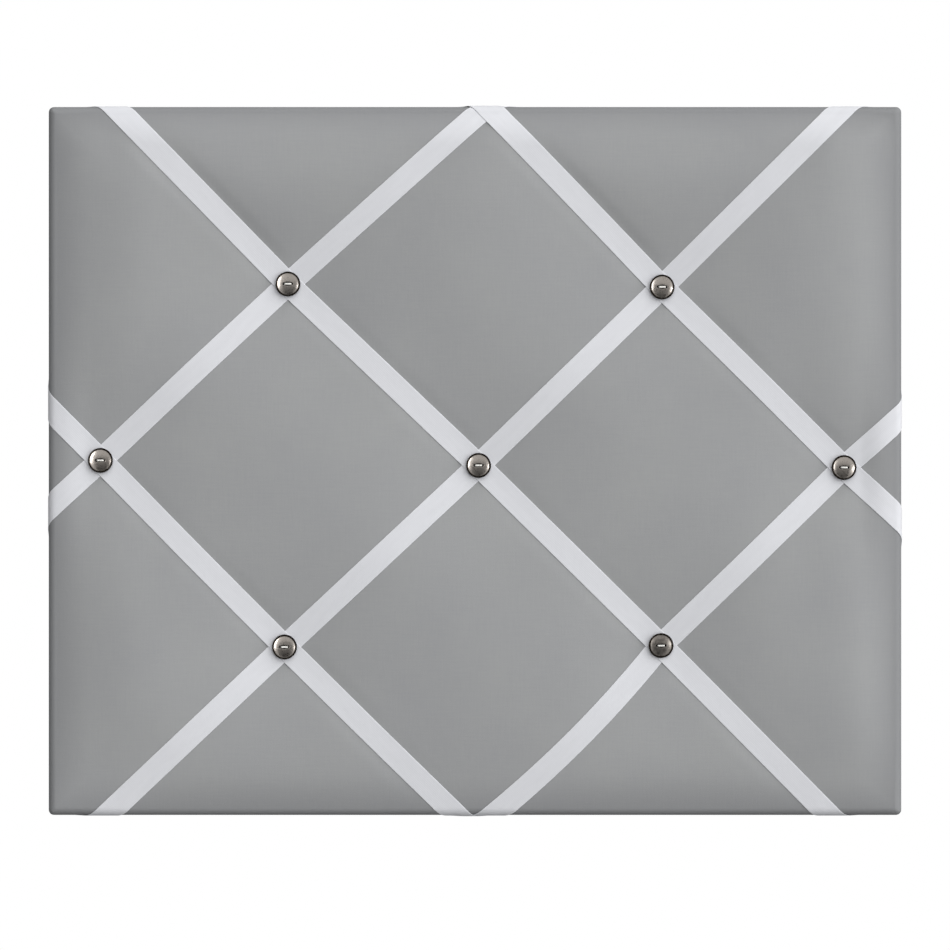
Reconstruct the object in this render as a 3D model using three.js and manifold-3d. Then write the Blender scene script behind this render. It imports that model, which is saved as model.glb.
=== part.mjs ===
import * as THREE from "three";
import { mergeVertices } from "three/addons/utils/BufferGeometryUtils.js";
import Module from "manifold-3d";

const wasm = await Module();
wasm.setup();

// Fabric-covered memo board, in millimetres. X runs right, the front faces -Y, Z is up.
// The plane y = 0 is the rear face of the back sheet, and the board is centred on x = 0, z = 0.

// Overall size
const WIDTH = 480;
const HEIGHT = 400;

// Clearances: between sheets laid flat on each other, and between shaped pieces
const LAID = 0.1;
const EASE = 0.3;

// Board, padding and cover
const BOARD_THICK = 6;
const BOARD_CHAMFER = 0.8;
const PAD_LOFT = 10.5;
const PAD_CROWN = 4.5;
const PAD_RISE = 0.095;
const PILLOW_FOOT = 0.3;
const PILLOW_SINK = 1.5;
const EDGE_ROLL = 8;
const BACK_ROLL = 1.2;
const CORNER_RADIUS = 3;
const FABRIC_THICK = 0.6;
const HEM_WIDTH = 22;

// Tufts: depth of the seat under each button, and how far the cone around it spreads
const TUFT_DEPTH = 4;
const TUFT_SLOPE = 12;

// Ribbons
const RIBBON_WIDTH = 12.8;
const RIBBON_THICK = 0.5;
const RIBBON_RAMP = 5;
const RIBBON_BOW = 3.3;
const TAIL_LENGTH = 20;
const CORNER_TRIM = 2;
const LANE_MARGIN = 1;

// Button lattice: distance of the outer columns from the side edges
const SIDE_MARGIN = 30;

// Buttons and their thread ties
const BUTTON_DIAMETER = 14;
const BUTTON_HEIGHT = 3.8;
const EYE_LENGTH = 6;
const EYE_WIDTH = 2.2;
const EYE_DEPTH = 1.1;
const BUTTON_FOOT = 1.6;
const BUTTON_BELT = 1.4;
const THREAD_THICK = 0.9;
const THREAD_SPACING = 3.6;
const THREAD_BEND = 0.7;
const KNOT_RADIUS = 1;

// Staples that hold the ribbon tails
const STAPLE_CROWN = 10;
const STAPLE_WIRE = 0.6;
const STAPLE_THICK = 0.5;
const STAPLE_LEG = 5.5;
const STAPLE_INSET = 8;

// Back sheet
const SHEET_THICK = 0.8;
const SHEET_INSET = 6;
const WALL_FACE_LOW = -40;
const WALL_FACE_HIGH = 120;

// Strap hangers with a swinging ring
const HANGER_INSET = 34;
const STRAP_WIDTH = 9;
const STRAP_THICK = 0.7;
const STRAP_LENGTH = 14.5;
const STRAP_SLIT = 0.2;
const STRAP_BEND = Math.PI / 4;
const RING_WIRE = 2;
const RING_INSIDE = 12;
const RING_SIDES = 3;
const RING_BEND = 2;
const SCREW_PLACE = 10;
const SCREW_LENGTH = 9.5;
const SCREW_RADIUS = 1.45;
const SCREW_POINT = 2.2;
const SCREW_HEAD = 5.6;
const SCREW_DOME = 2;
const RECESS_LENGTH = 3;
const RECESS_WIDTH = 0.6;
const RECESS_DEPTH = 1.1;

// Facets
const CORNER_STEPS = 2;
const ROLL_STEPS = 4;
const TUFT_SIDES = 8;
const PILLOW_STEP = 90;
const PILLOW_EDGE = 14;
const ROUND_SIDES = 20;
const PROFILE_STEPS = 3;
const HOLE_SIDES = 8;
const THREAD_SIDES = 6;
const WIRE_SIDES = 10;
const RING_STEPS = 14;
const BEND_STEPS = 4;

// Depths in front of and behind every piece, for cuts that go right through
const CLEAR_FRONT = -40;
const CLEAR_BACK = 5;

// Depths of the layers, from the wall face forward
const SHEET_FRONT = -SHEET_THICK;
const TAIL_STACK = 2 * (EASE + RIBBON_THICK);
const HEM_FACE = SHEET_FRONT - LAID - TAIL_STACK;
const BOARD_BACK = HEM_FACE - FABRIC_THICK - LAID;
const BOARD_FRONT = BOARD_BACK - BOARD_THICK;
const PAD_BACK = BOARD_FRONT - LAID;
const FRONT = PAD_BACK - PAD_LOFT - EASE - FABRIC_THICK;

// Lattice of the buttons, with the small drift of each hand-placed one
const PITCH_X = (WIDTH - 2 * SIDE_MARGIN) / 4;
const PITCH_Z = HEIGHT / 4;
const SIDE_RISE = (SIDE_MARGIN * PITCH_Z) / PITCH_X;
const at = (column, row, driftX, driftZ) =>
  new THREE.Vector2(column * PITCH_X + driftX, row * PITCH_Z + driftZ);
const BUTTONS = {
  top_left: at(-1, 1, -0.1, -0.6),
  top_right: at(1, 1, 0.1, -2.3),
  middle_left: at(-2, 0, -0.4, 0.3),
  centre: at(0, 0, 2, -2.5),
  middle_right: at(2, 0, -2.7, -3.7),
  bottom_left: at(-1, -1, -2, -4.5),
  bottom_right: at(1, -1, -0.5, -3.7),
};

// Places where the ribbons run over the edges, with the drift of each hand-laid end
const overTop = (column, drift) => new THREE.Vector2(column * PITCH_X + drift, HEIGHT / 2);
const overBottom = (column, drift) => new THREE.Vector2(column * PITCH_X + drift, -HEIGHT / 2);
const overLeft = (side, drift) => new THREE.Vector2(-WIDTH / 2, side * SIDE_RISE + drift);
const overRight = (side, drift) => new THREE.Vector2(WIDTH / 2, side * SIDE_RISE + drift);

// Falling ribbons lie over the rising ones
const RIBBONS = {
  fall_left: {
    over: true,
    start: { edge: "left", aim: overLeft(1, -0.1) },
    buttons: ["middle_left", "bottom_left"],
    end: { edge: "bottom", aim: overBottom(0, -10.4) },
  },
  fall_centre: {
    over: true,
    start: { edge: "top", aim: overTop(-2, 7.6) },
    buttons: ["top_left", "centre", "bottom_right"],
    end: { edge: "bottom", aim: overBottom(2, -11) },
  },
  fall_right: {
    over: true,
    start: { edge: "top", aim: overTop(0, 8.7) },
    buttons: ["top_right", "middle_right"],
    end: { edge: "right", aim: overRight(-1, -5) },
  },
  rise_left: {
    over: false,
    start: { edge: "left", aim: overLeft(-1, 1.6) },
    buttons: ["middle_left", "top_left"],
    end: { edge: "top", aim: overTop(0, 4.8) },
  },
  rise_centre: {
    over: false,
    start: { edge: "bottom", aim: overBottom(-2, 2.8) },
    buttons: ["bottom_left", "centre", "top_right"],
    end: { edge: "top", aim: overTop(2, -2.5) },
  },
  rise_right: {
    over: false,
    bow: RIBBON_BOW,
    start: { edge: "bottom", aim: overBottom(0, 10.1) },
    buttons: ["bottom_right", "middle_right"],
    end: { edge: "right", aim: overRight(1, -3.2) },
  },
};

const part = new THREE.Group();
part.name = "memo_board";

// Distance below which the corners of a geometry are one
const WELD = 1e-4;

// Body for cutting and joining, from a closed geometry
function solid(geometry, faceID) {
  const bare = geometry.clone();
  bare.deleteAttribute("normal");
  bare.deleteAttribute("uv");
  const welded = mergeVertices(bare, WELD);
  const mesh = {
    numProp: 3,
    vertProperties: new Float32Array(welded.attributes.position.array),
    triVerts: Uint32Array.from(welded.index.array),
  };
  if (faceID) mesh.faceID = faceID;
  return new wasm.Manifold(new wasm.Mesh(mesh));
}

// Named piece with its own material
function piece(name, body, colour, roughness, metalness) {
  const data = body.getMesh();
  const geometry = new THREE.BufferGeometry();
  geometry.setAttribute("position", new THREE.BufferAttribute(new Float32Array(data.vertProperties), 3));
  geometry.setIndex(new THREE.BufferAttribute(new Uint32Array(data.triVerts), 1));
  geometry.computeVertexNormals();
  const material = new THREE.MeshStandardMaterial({ color: colour, roughness, metalness });
  const mesh = new THREE.Mesh(geometry, material);
  mesh.name = name;
  part.add(mesh);
}

// Axis-aligned block between two corners
function block(x0, x1, y0, y1, z0, z1) {
  const box = new THREE.BoxGeometry(x1 - x0, y1 - y0, z1 - z0);
  return solid(box.translate((x0 + x1) / 2, (y0 + y1) / 2, (z0 + z1) / 2));
}

// Everything between two depths
const layer = (y0, y1) => block(-WIDTH, WIDTH, y0, y1, -HEIGHT, HEIGHT);

// Round rod along Y, with the radius at its rear and front end
function rod(rear, front, y0, y1, x, z, sides) {
  const cylinder = new THREE.CylinderGeometry(rear, front, y1 - y0, sides);
  return solid(cylinder.translate(x, (y0 + y1) / 2, z));
}

// Closes a row of equal sections into one body
function loft(sections) {
  const count = sections[0].length;
  const last = (sections.length - 1) * count;
  const points = sections.flat();
  const faces = [];
  for (let s = 0; s < last; s += count) {
    for (let i = 0; i < count; i += 1) {
      const next = (i + 1) % count;
      faces.push([s + i, s + next, s + count + next]);
      faces.push([s + i, s + count + next, s + count + i]);
    }
  }
  for (let i = 1; i + 1 < count; i += 1) {
    faces.push([0, i + 1, i]);
    faces.push([last, last + i, last + i + 1]);
  }
  let volume = 0;
  const cross = new THREE.Vector3();
  for (const [a, b, c] of faces) volume += points[a].dot(cross.crossVectors(points[b], points[c]));
  const turned = volume < 0 ? faces.map(([a, b, c]) => [a, c, b]) : faces;
  const geometry = new THREE.BufferGeometry().setFromPoints(points);
  geometry.setIndex(turned.flat());
  return solid(geometry);
}

// Round wire along a closed loop of points, in the plane square to the normal
function wireLoop(points, radius, sides, normal) {
  const sections = [];
  for (let i = 0; i < points.length; i += 1) {
    const before = points[(i + points.length - 1) % points.length];
    const after = points[(i + 1) % points.length];
    const enter = points[i].clone().sub(before).normalize();
    const leave = after.clone().sub(points[i]).normalize();
    const along = enter.clone().add(leave).normalize();
    const across = new THREE.Vector3().crossVectors(normal, along);
    const stretch = 1 / along.dot(enter);
    const section = [];
    for (let k = 0; k < sides; k += 1) {
      const turn = (2 * Math.PI * (k + 0.5)) / sides;
      const offset = across.clone().multiplyScalar(radius * stretch * Math.cos(turn));
      section.push(points[i].clone().add(offset).addScaledVector(normal, radius * Math.sin(turn)));
    }
    sections.push(section);
  }
  const vertices = sections.flat();
  const faces = [];
  for (let i = 0; i < sections.length; i += 1) {
    const ring = i * sides;
    const next = ((i + 1) % sections.length) * sides;
    for (let k = 0; k < sides; k += 1) {
      const step = (k + 1) % sides;
      faces.push(ring + k, next + k, next + step, ring + k, next + step, ring + step);
    }
  }
  const geometry = new THREE.BufferGeometry().setFromPoints(vertices);
  geometry.setIndex(faces);
  const body = solid(geometry);
  return body.volume() > 0 ? body : solid(geometry.setIndex(faces.reverse()));
}

// Points of a rounded rectangle at one depth
function outline(halfX, halfZ, radius, y) {
  const points = [];
  const corners = [[1, 1], [-1, 1], [-1, -1], [1, -1]];
  corners.forEach(([signX, signZ], quarter) => {
    for (let k = 0; k <= CORNER_STEPS; k += 1) {
      const turn = (Math.PI / 2) * (quarter + k / CORNER_STEPS);
      const x = signX * (halfX - radius) + radius * Math.cos(turn);
      const z = signZ * (halfZ - radius) + radius * Math.sin(turn);
      points.push(new THREE.Vector3(x, y, z));
    }
  });
  return points;
}

// Point on the cover's rolled edge: reach from the board's middle, over the front, side and back
const ROLL_START = -EDGE_ROLL;
const ROLL_END = ROLL_START + (EDGE_ROLL * Math.PI) / 2;
const SIDE_END = ROLL_END + (HEM_FACE - BACK_ROLL) - (FRONT + EDGE_ROLL);
const BACK_START = SIDE_END + (BACK_ROLL * Math.PI) / 2;
function rollPoint(half, reach, lift) {
  const past = reach - half;
  if (past <= ROLL_START) return { out: reach, y: FRONT - lift };
  if (past <= ROLL_END) {
    const turn = (past - ROLL_START) / EDGE_ROLL;
    const radius = EDGE_ROLL + lift;
    const out = half - EDGE_ROLL + radius * Math.sin(turn);
    return { out, y: FRONT + EDGE_ROLL - radius * Math.cos(turn) };
  }
  if (past <= SIDE_END) return { out: half + lift, y: FRONT + EDGE_ROLL + past - ROLL_END };
  if (past <= BACK_START) {
    const turn = (past - SIDE_END) / BACK_ROLL;
    const radius = BACK_ROLL + lift;
    const out = half - BACK_ROLL + radius * Math.cos(turn);
    return { out, y: HEM_FACE - BACK_ROLL + radius * Math.sin(turn) };
  }
  return { out: half - BACK_ROLL - (past - BACK_START), y: HEM_FACE + lift };
}

// Reaches at which the rolled edge bends
function rollBreaks(half) {
  const breaks = [];
  const step = (ROLL_END - ROLL_START) / ROLL_STEPS;
  for (let k = 0; k <= ROLL_STEPS; k += 1) breaks.push(half + ROLL_START + k * step);
  breaks.push(half + SIDE_END, half + BACK_START);
  return breaks;
}

// Padded block without pillows: the cover's outside, drawn in by an inset
const LEAST_RADIUS = 0.6;
function slab(inset) {
  const reachesX = rollBreaks(WIDTH / 2);
  const reachesZ = rollBreaks(HEIGHT / 2);
  const sections = reachesX.map((reach, k) => {
    const x = rollPoint(WIDTH / 2, reach, -inset);
    const z = rollPoint(HEIGHT / 2, reachesZ[k], -inset);
    const radius = Math.max(LEAST_RADIUS, CORNER_RADIUS - (WIDTH / 2 - x.out));
    return outline(x.out, z.out, radius, x.y);
  });
  return loft(sections);
}

// Cuts a convex outline by the line through two points, keeping the side of the seed
function clip(polygon, from, to, seed, inset) {
  const normal = new THREE.Vector2(from.y - to.y, to.x - from.x).normalize();
  if (normal.dot(seed.clone().sub(from)) < 0) normal.negate();
  const height = (point) => normal.dot(point.clone().sub(from)) - inset;
  const kept = [];
  polygon.forEach((point, i) => {
    const next = polygon[(i + 1) % polygon.length];
    const a = height(point);
    const b = height(next);
    if (a >= 0) kept.push(point);
    if (a * b < 0) kept.push(point.clone().lerp(next, a / (a - b)));
  });
  return kept;
}

// Middle points of a bowed run from a button to the edge
const BOW_PLACES = [0.2, 0.6];
function bowPoints(ribbon) {
  if (!ribbon.bow) return [];
  const { aim } = ribbon.start;
  const button = BUTTONS[ribbon.buttons[0]];
  const chord = button.clone().sub(aim).normalize();
  const control = aim.clone().lerp(button, 0.5);
  control.addScaledVector(new THREE.Vector2(chord.y, -chord.x), 2 * ribbon.bow);
  const curve = new THREE.QuadraticBezierCurve(aim, control, button);
  return BOW_PLACES.map((t) => curve.getPoint(t));
}

// Line of each ribbon's middle across the front
const spines = {};
for (const [name, ribbon] of Object.entries(RIBBONS)) {
  spines[name] = [
    { point: ribbon.start.aim },
    ...bowPoints(ribbon).map((point) => ({ point })),
    ...ribbon.buttons.map((button) => ({ point: BUTTONS[button], button })),
    { point: ribbon.end.aim },
  ];
}

// Directions in which a ribbon enters and leaves one of its buttons
function legs(name, button) {
  const nodes = spines[name];
  const i = nodes.findIndex((node) => node.button === button);
  const enter = nodes[i].point.clone().sub(nodes[i - 1].point).normalize();
  const leave = nodes[i + 1].point.clone().sub(nodes[i].point).normalize();
  return [enter, leave];
}

// How far the crossing of two ribbons reaches along either one, from the angle between them
const crossReach = (a, b) => ((RIBBON_WIDTH / 2) * (1 + Math.abs(a.dot(b)))) / Math.abs(a.cross(b));

// Widest crossing under a button, and the tuft whose flat seat holds it
const crossReaches = Object.keys(BUTTONS).flatMap((button) => {
  const pair = Object.keys(RIBBONS).filter((name) => RIBBONS[name].buttons.includes(button));
  const [upper, lower] = pair.map((name) => legs(name, button));
  return upper.flatMap((a) => lower.map((b) => crossReach(a, b)));
});
const SEAT_ROW = Math.max(...crossReaches) + EASE;
const TUFT_SEAT = Math.hypot(SEAT_ROW, RIBBON_WIDTH / 2);
const TUFT_RADIUS = TUFT_SEAT + TUFT_SLOPE;
const RIM_ROW = Math.sqrt(TUFT_RADIUS ** 2 - (RIBBON_WIDTH / 2) ** 2) - LAID;

// Pillows between the ribbons, each named by the runs of ribbon that draw it in
const run = (name, first, last) => {
  const nodes = spines[name];
  const from = first === "start" ? 0 : nodes.findIndex((node) => node.button === first);
  const to = last === "end" ? nodes.length - 1 : nodes.findIndex((node) => node.button === last);
  return nodes.slice(from, to + 1);
};
const PILLOWS = [
  [run("fall_centre", "start", "top_left"), run("rise_left", "middle_left", "top_left"),
    run("fall_left", "start", "middle_left")],
  [run("fall_centre", "start", "top_left"), run("rise_left", "top_left", "end")],
  [run("fall_right", "start", "top_right"), run("rise_centre", "top_right", "end")],
  [run("rise_centre", "top_right", "end"), run("fall_right", "top_right", "middle_right"),
    run("rise_right", "middle_right", "end")],
  [run("rise_left", "top_left", "end"), run("fall_right", "start", "top_right"),
    run("rise_centre", "centre", "top_right"), run("fall_centre", "top_left", "centre")],
  [run("rise_left", "middle_left", "top_left"), run("fall_centre", "top_left", "centre"),
    run("rise_centre", "bottom_left", "centre"), run("fall_left", "middle_left", "bottom_left")],
  [run("rise_centre", "centre", "top_right"), run("fall_right", "top_right", "middle_right"),
    run("rise_right", "bottom_right", "middle_right"), run("fall_centre", "centre", "bottom_right")],
  [run("rise_centre", "bottom_left", "centre"), run("fall_centre", "centre", "bottom_right"),
    run("rise_right", "start", "bottom_right"), run("fall_left", "bottom_left", "end")],
  [run("rise_left", "start", "middle_left"), run("fall_left", "middle_left", "bottom_left"),
    run("rise_centre", "start", "bottom_left")],
  [run("rise_centre", "start", "bottom_left"), run("fall_left", "bottom_left", "end")],
  [run("rise_right", "start", "bottom_right"), run("fall_centre", "bottom_right", "end")],
  [run("rise_right", "bottom_right", "middle_right"), run("fall_right", "middle_right", "end"),
    run("fall_centre", "bottom_right", "end")],
];

// Outline of one pillow on the flat front, kept off the ribbons, the tufts and the rolled edge
function pillowOutline(runs) {
  const seed = new THREE.Vector2();
  for (const nodes of runs) seed.add(nodes[0].point).add(nodes[nodes.length - 1].point);
  seed.divideScalar(2 * runs.length);
  const flatX = WIDTH / 2 - EDGE_ROLL - LANE_MARGIN;
  const flatZ = HEIGHT / 2 - EDGE_ROLL - LANE_MARGIN;
  const corners = [[-1, -1], [1, -1], [1, 1], [-1, 1]];
  let polygon = corners.map(([x, z]) => new THREE.Vector2(x * flatX, z * flatZ));
  for (const nodes of runs) {
    for (let i = 0; i + 1 < nodes.length; i += 1) {
      polygon = clip(polygon, nodes[i].point, nodes[i + 1].point, seed, RIBBON_WIDTH / 2 + LANE_MARGIN);
    }
  }
  const buttons = new Set(runs.flat().filter((node) => node.button).map((node) => node.point));
  for (const point of buttons) {
    const away = seed.clone().sub(point);
    const beside = new THREE.Vector2(point.x - away.y, point.y + away.x);
    polygon = clip(polygon, point, beside, seed, TUFT_RADIUS + LANE_MARGIN);
  }
  return polygon.filter((point, i) => point.distanceTo(polygon[(i + 1) % polygon.length]) > PILLOW_EDGE);
}

// One pillow: rings that round off toward the crown, each with its size, roundness and share of the rise
const SMALL_RINGS = [[0.42, 0.25, 1]];
const LARGE_RINGS = [[0.66, 0.15, 0.66], [0.26, 0.5, 1]];
function pillow(runs, inset) {
  const polygon = pillowOutline(runs);
  const middle = new THREE.Vector2();
  let area = 0;
  polygon.forEach((a, i) => {
    const b = polygon[(i + 1) % polygon.length];
    const cross = a.cross(b);
    area += cross / 2;
    middle.addScaledVector(a.clone().add(b), cross / 6);
  });
  middle.divideScalar(area);
  const inner = Math.min(...polygon.map((a, i) => {
    const b = polygon[(i + 1) % polygon.length];
    return Math.abs(b.clone().sub(a).normalize().cross(middle.clone().sub(a)));
  }));
  const crown = Math.min(PAD_CROWN, PAD_RISE * inner);
  const rim = [];
  polygon.forEach((a, i) => {
    const b = polygon[(i + 1) % polygon.length];
    const steps = Math.max(1, Math.round(a.distanceTo(b) / PILLOW_STEP));
    for (let k = 0; k < steps; k += 1) rim.push(a.clone().lerp(b, k / steps));
  });
  const mean = rim.reduce((sum, p) => sum + p.distanceTo(middle), 0) / rim.length;
  const ring = (scale, round, height) => rim.map((p) => {
    const arm = p.clone().sub(middle);
    const circle = arm.clone().normalize().multiplyScalar(mean);
    const q = arm.lerp(circle, round).multiplyScalar(scale).add(middle);
    return new THREE.Vector3(q.x, FRONT + inset - height, q.y);
  });
  const foot = [ring(1, 0, -PILLOW_SINK), ring(1, 0, -PILLOW_FOOT)];
  const rings = runs.length < 4 ? SMALL_RINGS : LARGE_RINGS;
  return loft([...foot, ...rings.map(([scale, round, rise]) => ring(scale, round, rise * crown))]);
}

// Cone that draws the padding in under one button
function tuft(place, inset) {
  const slope = (TUFT_RADIUS - TUFT_SEAT) / TUFT_DEPTH;
  const outside = 1 / Math.cos(Math.PI / TUFT_SIDES);
  const above = EASE;
  const wide = (TUFT_RADIUS + above * slope) * outside;
  const y = FRONT + inset;
  return rod(TUFT_SEAT * outside, wide, y - above, y + TUFT_DEPTH, place.x, place.y, TUFT_SIDES);
}

// Padded block with pillows and tufts
function padded(inset) {
  const pillows = PILLOWS.map((runs) => pillow(runs, inset));
  const tufts = Object.values(BUTTONS).map((place) => tuft(place, inset));
  return slab(inset).add(wasm.Manifold.union(pillows)).subtract(wasm.Manifold.union(tufts));
}

// Slits and holes for the thread of every button
const slits = [];
const threadHoles = [];
for (const place of Object.values(BUTTONS)) {
  const half = (THREAD_SPACING + THREAD_THICK) / 2 + EASE;
  const wide = THREAD_THICK / 2 + EASE;
  slits.push(block(place.x - half, place.x + half, CLEAR_FRONT, 0, place.y - wide, place.y + wide));
  for (const side of [-0.5, 0.5]) {
    const x = place.x + side * THREAD_SPACING;
    threadHoles.push(rod(wide, wide, CLEAR_FRONT, 0, x, place.y, HOLE_SIDES));
  }
}
const allSlits = wasm.Manifold.union(slits);

// Frame of one ribbon end: line of its middle, and the way it crosses the edge
const EDGES = {
  top: { reach: (p) => p.y, side: (p) => p.x, half: HEIGHT / 2, place: (t, out, y) => [t, y, out] },
  bottom: { reach: (p) => -p.y, side: (p) => p.x, half: HEIGHT / 2, place: (t, out, y) => [t, y, -out] },
  left: { reach: (p) => -p.x, side: (p) => p.y, half: WIDTH / 2, place: (t, out, y) => [-out, y, t] },
  right: { reach: (p) => p.x, side: (p) => p.y, half: WIDTH / 2, place: (t, out, y) => [out, y, t] },
};
function endFrame(name, which) {
  const nodes = spines[name];
  const aim = which === "start" ? nodes[0].point : nodes[nodes.length - 1].point;
  const inner = which === "start" ? nodes[1].point : nodes[nodes.length - 2].point;
  const edge = EDGES[RIBBONS[name][which].edge];
  const along = aim.clone().sub(inner).normalize();
  const slope = edge.side(along) / edge.reach(along);
  const halfSide = RIBBON_WIDTH / 2 / edge.reach(along);
  const middle = (reach) => edge.side(aim) + (reach - edge.reach(aim)) * slope;
  return { edge, name: RIBBONS[name][which].edge, slope, halfSide, middle };
}

// Crossing of two ribbon ends past the edge: the reach of its middle and how far it spreads
function endCrossing(upper, lower) {
  const gap = upper.middle(0) - lower.middle(0);
  const closing = lower.slope - upper.slope;
  const spread = Math.abs((upper.halfSide + lower.halfSide) / closing);
  return { reach: gap / closing, spread };
}
function crossingOf(name, which) {
  const frame = endFrame(name, which);
  if (!RIBBONS[name].over) return null;
  for (const other of Object.keys(RIBBONS)) {
    for (const end of ["start", "end"]) {
      const against = endFrame(other, end);
      if (RIBBONS[other].over || against.name !== frame.name) continue;
      const crossing = endCrossing(frame, against);
      const past = crossing.reach - frame.edge.half;
      if (past > ROLL_START - crossing.spread && past < BACK_START + TAIL_LENGTH) return crossing;
    }
  }
  return null;
}

// Rows of one ribbon end, from the front over the edge to the tail
const STEP_OVER = RIBBON_THICK + EASE;
function endRows(name, which) {
  const frame = endFrame(name, which);
  const { edge } = frame;
  const crossing = crossingOf(name, which);
  const tail = edge.half + BACK_START + TAIL_LENGTH;
  const reaches = [...rollBreaks(edge.half), tail];
  const lift = (reach) => {
    if (!crossing) return EASE;
    const off = Math.abs(reach - crossing.reach) - crossing.spread - EASE;
    return EASE + STEP_OVER * Math.min(1, Math.max(0, 1 - off / RIBBON_RAMP));
  };
  if (crossing) {
    const flat = crossing.spread + EASE;
    const bends = [-flat - RIBBON_RAMP, -flat, flat, flat + RIBBON_RAMP];
    reaches.push(...bends.map((off) => crossing.reach + off));
  }
  reaches.sort((a, b) => a - b);
  const rows = reaches.map((reach) => {
    const low = rollPoint(edge.half, reach, lift(reach));
    const high = rollPoint(edge.half, reach, lift(reach) + RIBBON_THICK);
    const left = frame.middle(reach) - frame.halfSide;
    const right = frame.middle(reach) + frame.halfSide;
    const corner = (t, level) => new THREE.Vector3(...edge.place(t, level.out, level.y));
    return [corner(left, low), corner(right, low), corner(right, high), corner(left, high)];
  });
  const settled = crossing ? crossing.reach + crossing.spread + RIBBON_RAMP : 0;
  const stapleReach = Math.max(edge.half + BACK_START + STAPLE_INSET, settled + STAPLE_WIRE + EASE);
  return { rows, frame, stapleReach };
}

// Rows of one ribbon across the front, dipping into the tufts and over the lower ribbons
function frontRows(name) {
  const nodes = spines[name];
  const { over } = RIBBONS[name];
  const rows = [];
  const addRow = (point, across, dip, lift) => {
    const y = FRONT + dip - lift;
    const half = across.clone().multiplyScalar(RIBBON_WIDTH / 2);
    const corner = (sign, level) =>
      new THREE.Vector3(point.x + sign * half.x, level, point.y + sign * half.y);
    const high = y - RIBBON_THICK;
    rows.push([corner(1, y), corner(-1, y), corner(-1, high), corner(1, high)]);
  };
  for (let i = 1; i + 1 < nodes.length; i += 1) {
    const enter = nodes[i].point.clone().sub(nodes[i - 1].point).normalize();
    const leave = nodes[i + 1].point.clone().sub(nodes[i].point).normalize();
    const along = enter.clone().add(leave).normalize();
    const mitre = new THREE.Vector2(-along.y, along.x).divideScalar(along.dot(enter));
    if (!nodes[i].button) {
      addRow(nodes[i].point, mitre, 0, EASE);
      continue;
    }
    const stations = over ? [SEAT_ROW, SEAT_ROW + RIBBON_RAMP, RIM_ROW] : [SEAT_ROW, RIM_ROW];
    stations.sort((a, b) => a - b);
    for (const u of [...stations.map((s) => -s).reverse(), 0, ...stations]) {
      const far = Math.abs(u);
      const dip = TUFT_DEPTH * Math.min(1, Math.max(0, (RIM_ROW - far) / (RIM_ROW - SEAT_ROW)));
      const rise = Math.min(1, Math.max(0, 1 - (far - SEAT_ROW) / RIBBON_RAMP));
      const lift = EASE + (over ? STEP_OVER * rise : 0);
      const way = u < 0 ? enter : leave;
      const across = u === 0 ? mitre : new THREE.Vector2(-way.y, way.x);
      addRow(nodes[i].point.clone().addScaledVector(way, u), across, dip, lift);
    }
  }
  return rows;
}

// Staple with its crown on the tail and both legs in the board
const STAPLE_FRONT = HEM_FACE + EASE + RIBBON_THICK + LAID;
function stapleShape() {
  const half = STAPLE_CROWN / 2;
  const shape = new THREE.Shape();
  shape.moveTo(-half, STAPLE_FRONT + STAPLE_THICK);
  shape.lineTo(-half, STAPLE_FRONT + STAPLE_THICK - STAPLE_LEG);
  shape.lineTo(-half + STAPLE_WIRE, STAPLE_FRONT + STAPLE_THICK - STAPLE_LEG);
  shape.lineTo(-half + STAPLE_WIRE, STAPLE_FRONT);
  shape.lineTo(half - STAPLE_WIRE, STAPLE_FRONT);
  shape.lineTo(half - STAPLE_WIRE, STAPLE_FRONT + STAPLE_THICK - STAPLE_LEG);
  shape.lineTo(half, STAPLE_FRONT + STAPLE_THICK - STAPLE_LEG);
  shape.lineTo(half, STAPLE_FRONT + STAPLE_THICK);
  return shape;
}
function staple(frame, reach) {
  const geometry = new THREE.ExtrudeGeometry(stapleShape(), { depth: STAPLE_WIRE, bevelEnabled: false });
  geometry.translate(0, 0, -STAPLE_WIRE / 2);
  const upright = frame.name === "left" || frame.name === "right";
  if (upright) geometry.rotateY(Math.PI / 2);
  const level = rollPoint(frame.edge.half, reach, 0);
  const sideRoom = (upright ? HEIGHT : WIDTH) / 2 - BACK_ROLL - CORNER_TRIM - STAPLE_CROWN / 2;
  const side = THREE.MathUtils.clamp(frame.middle(reach), -sideRoom, sideRoom);
  const [x, , z] = frame.edge.place(side, level.out, 0);
  geometry.translate(x, 0, z);
  const long = STAPLE_CROWN / 2 + LAID;
  const wide = STAPLE_WIRE / 2 + LAID;
  const halfX = upright ? wide : long;
  const halfZ = upright ? long : wide;
  const slot = block(x - halfX, x + halfX, FRONT + EDGE_ROLL, 0, z - halfZ, z + halfZ);
  const core = long - STAPLE_WIRE - 2 * LAID;
  const coreX = upright ? wide + 1 : core;
  const coreZ = upright ? core : wide + 1;
  const between = block(x - coreX, x + coreX, CLEAR_FRONT, CLEAR_BACK, z - coreZ, z + coreZ);
  const tip = STAPLE_FRONT + STAPLE_THICK - STAPLE_LEG - LAID;
  const drilled = slot.subtract(between).intersect(layer(tip, 0));
  return { body: solid(geometry), slot, drilled };
}

// Colours
const FABRIC_COLOUR = 0x919393;
const RIBBON_COLOUR = 0xd2d4d8;
const WADDING_COLOUR = 0xf1efe8;
const BOARD_COLOUR = 0xb08d62;
const BUTTON_COLOUR = 0x7a756f;
const THREAD_COLOUR = 0xe9e7e1;
const STEEL_COLOUR = 0xb4b6b8;
const SHEET_COLOUR = 0x3b3c3e;

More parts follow.
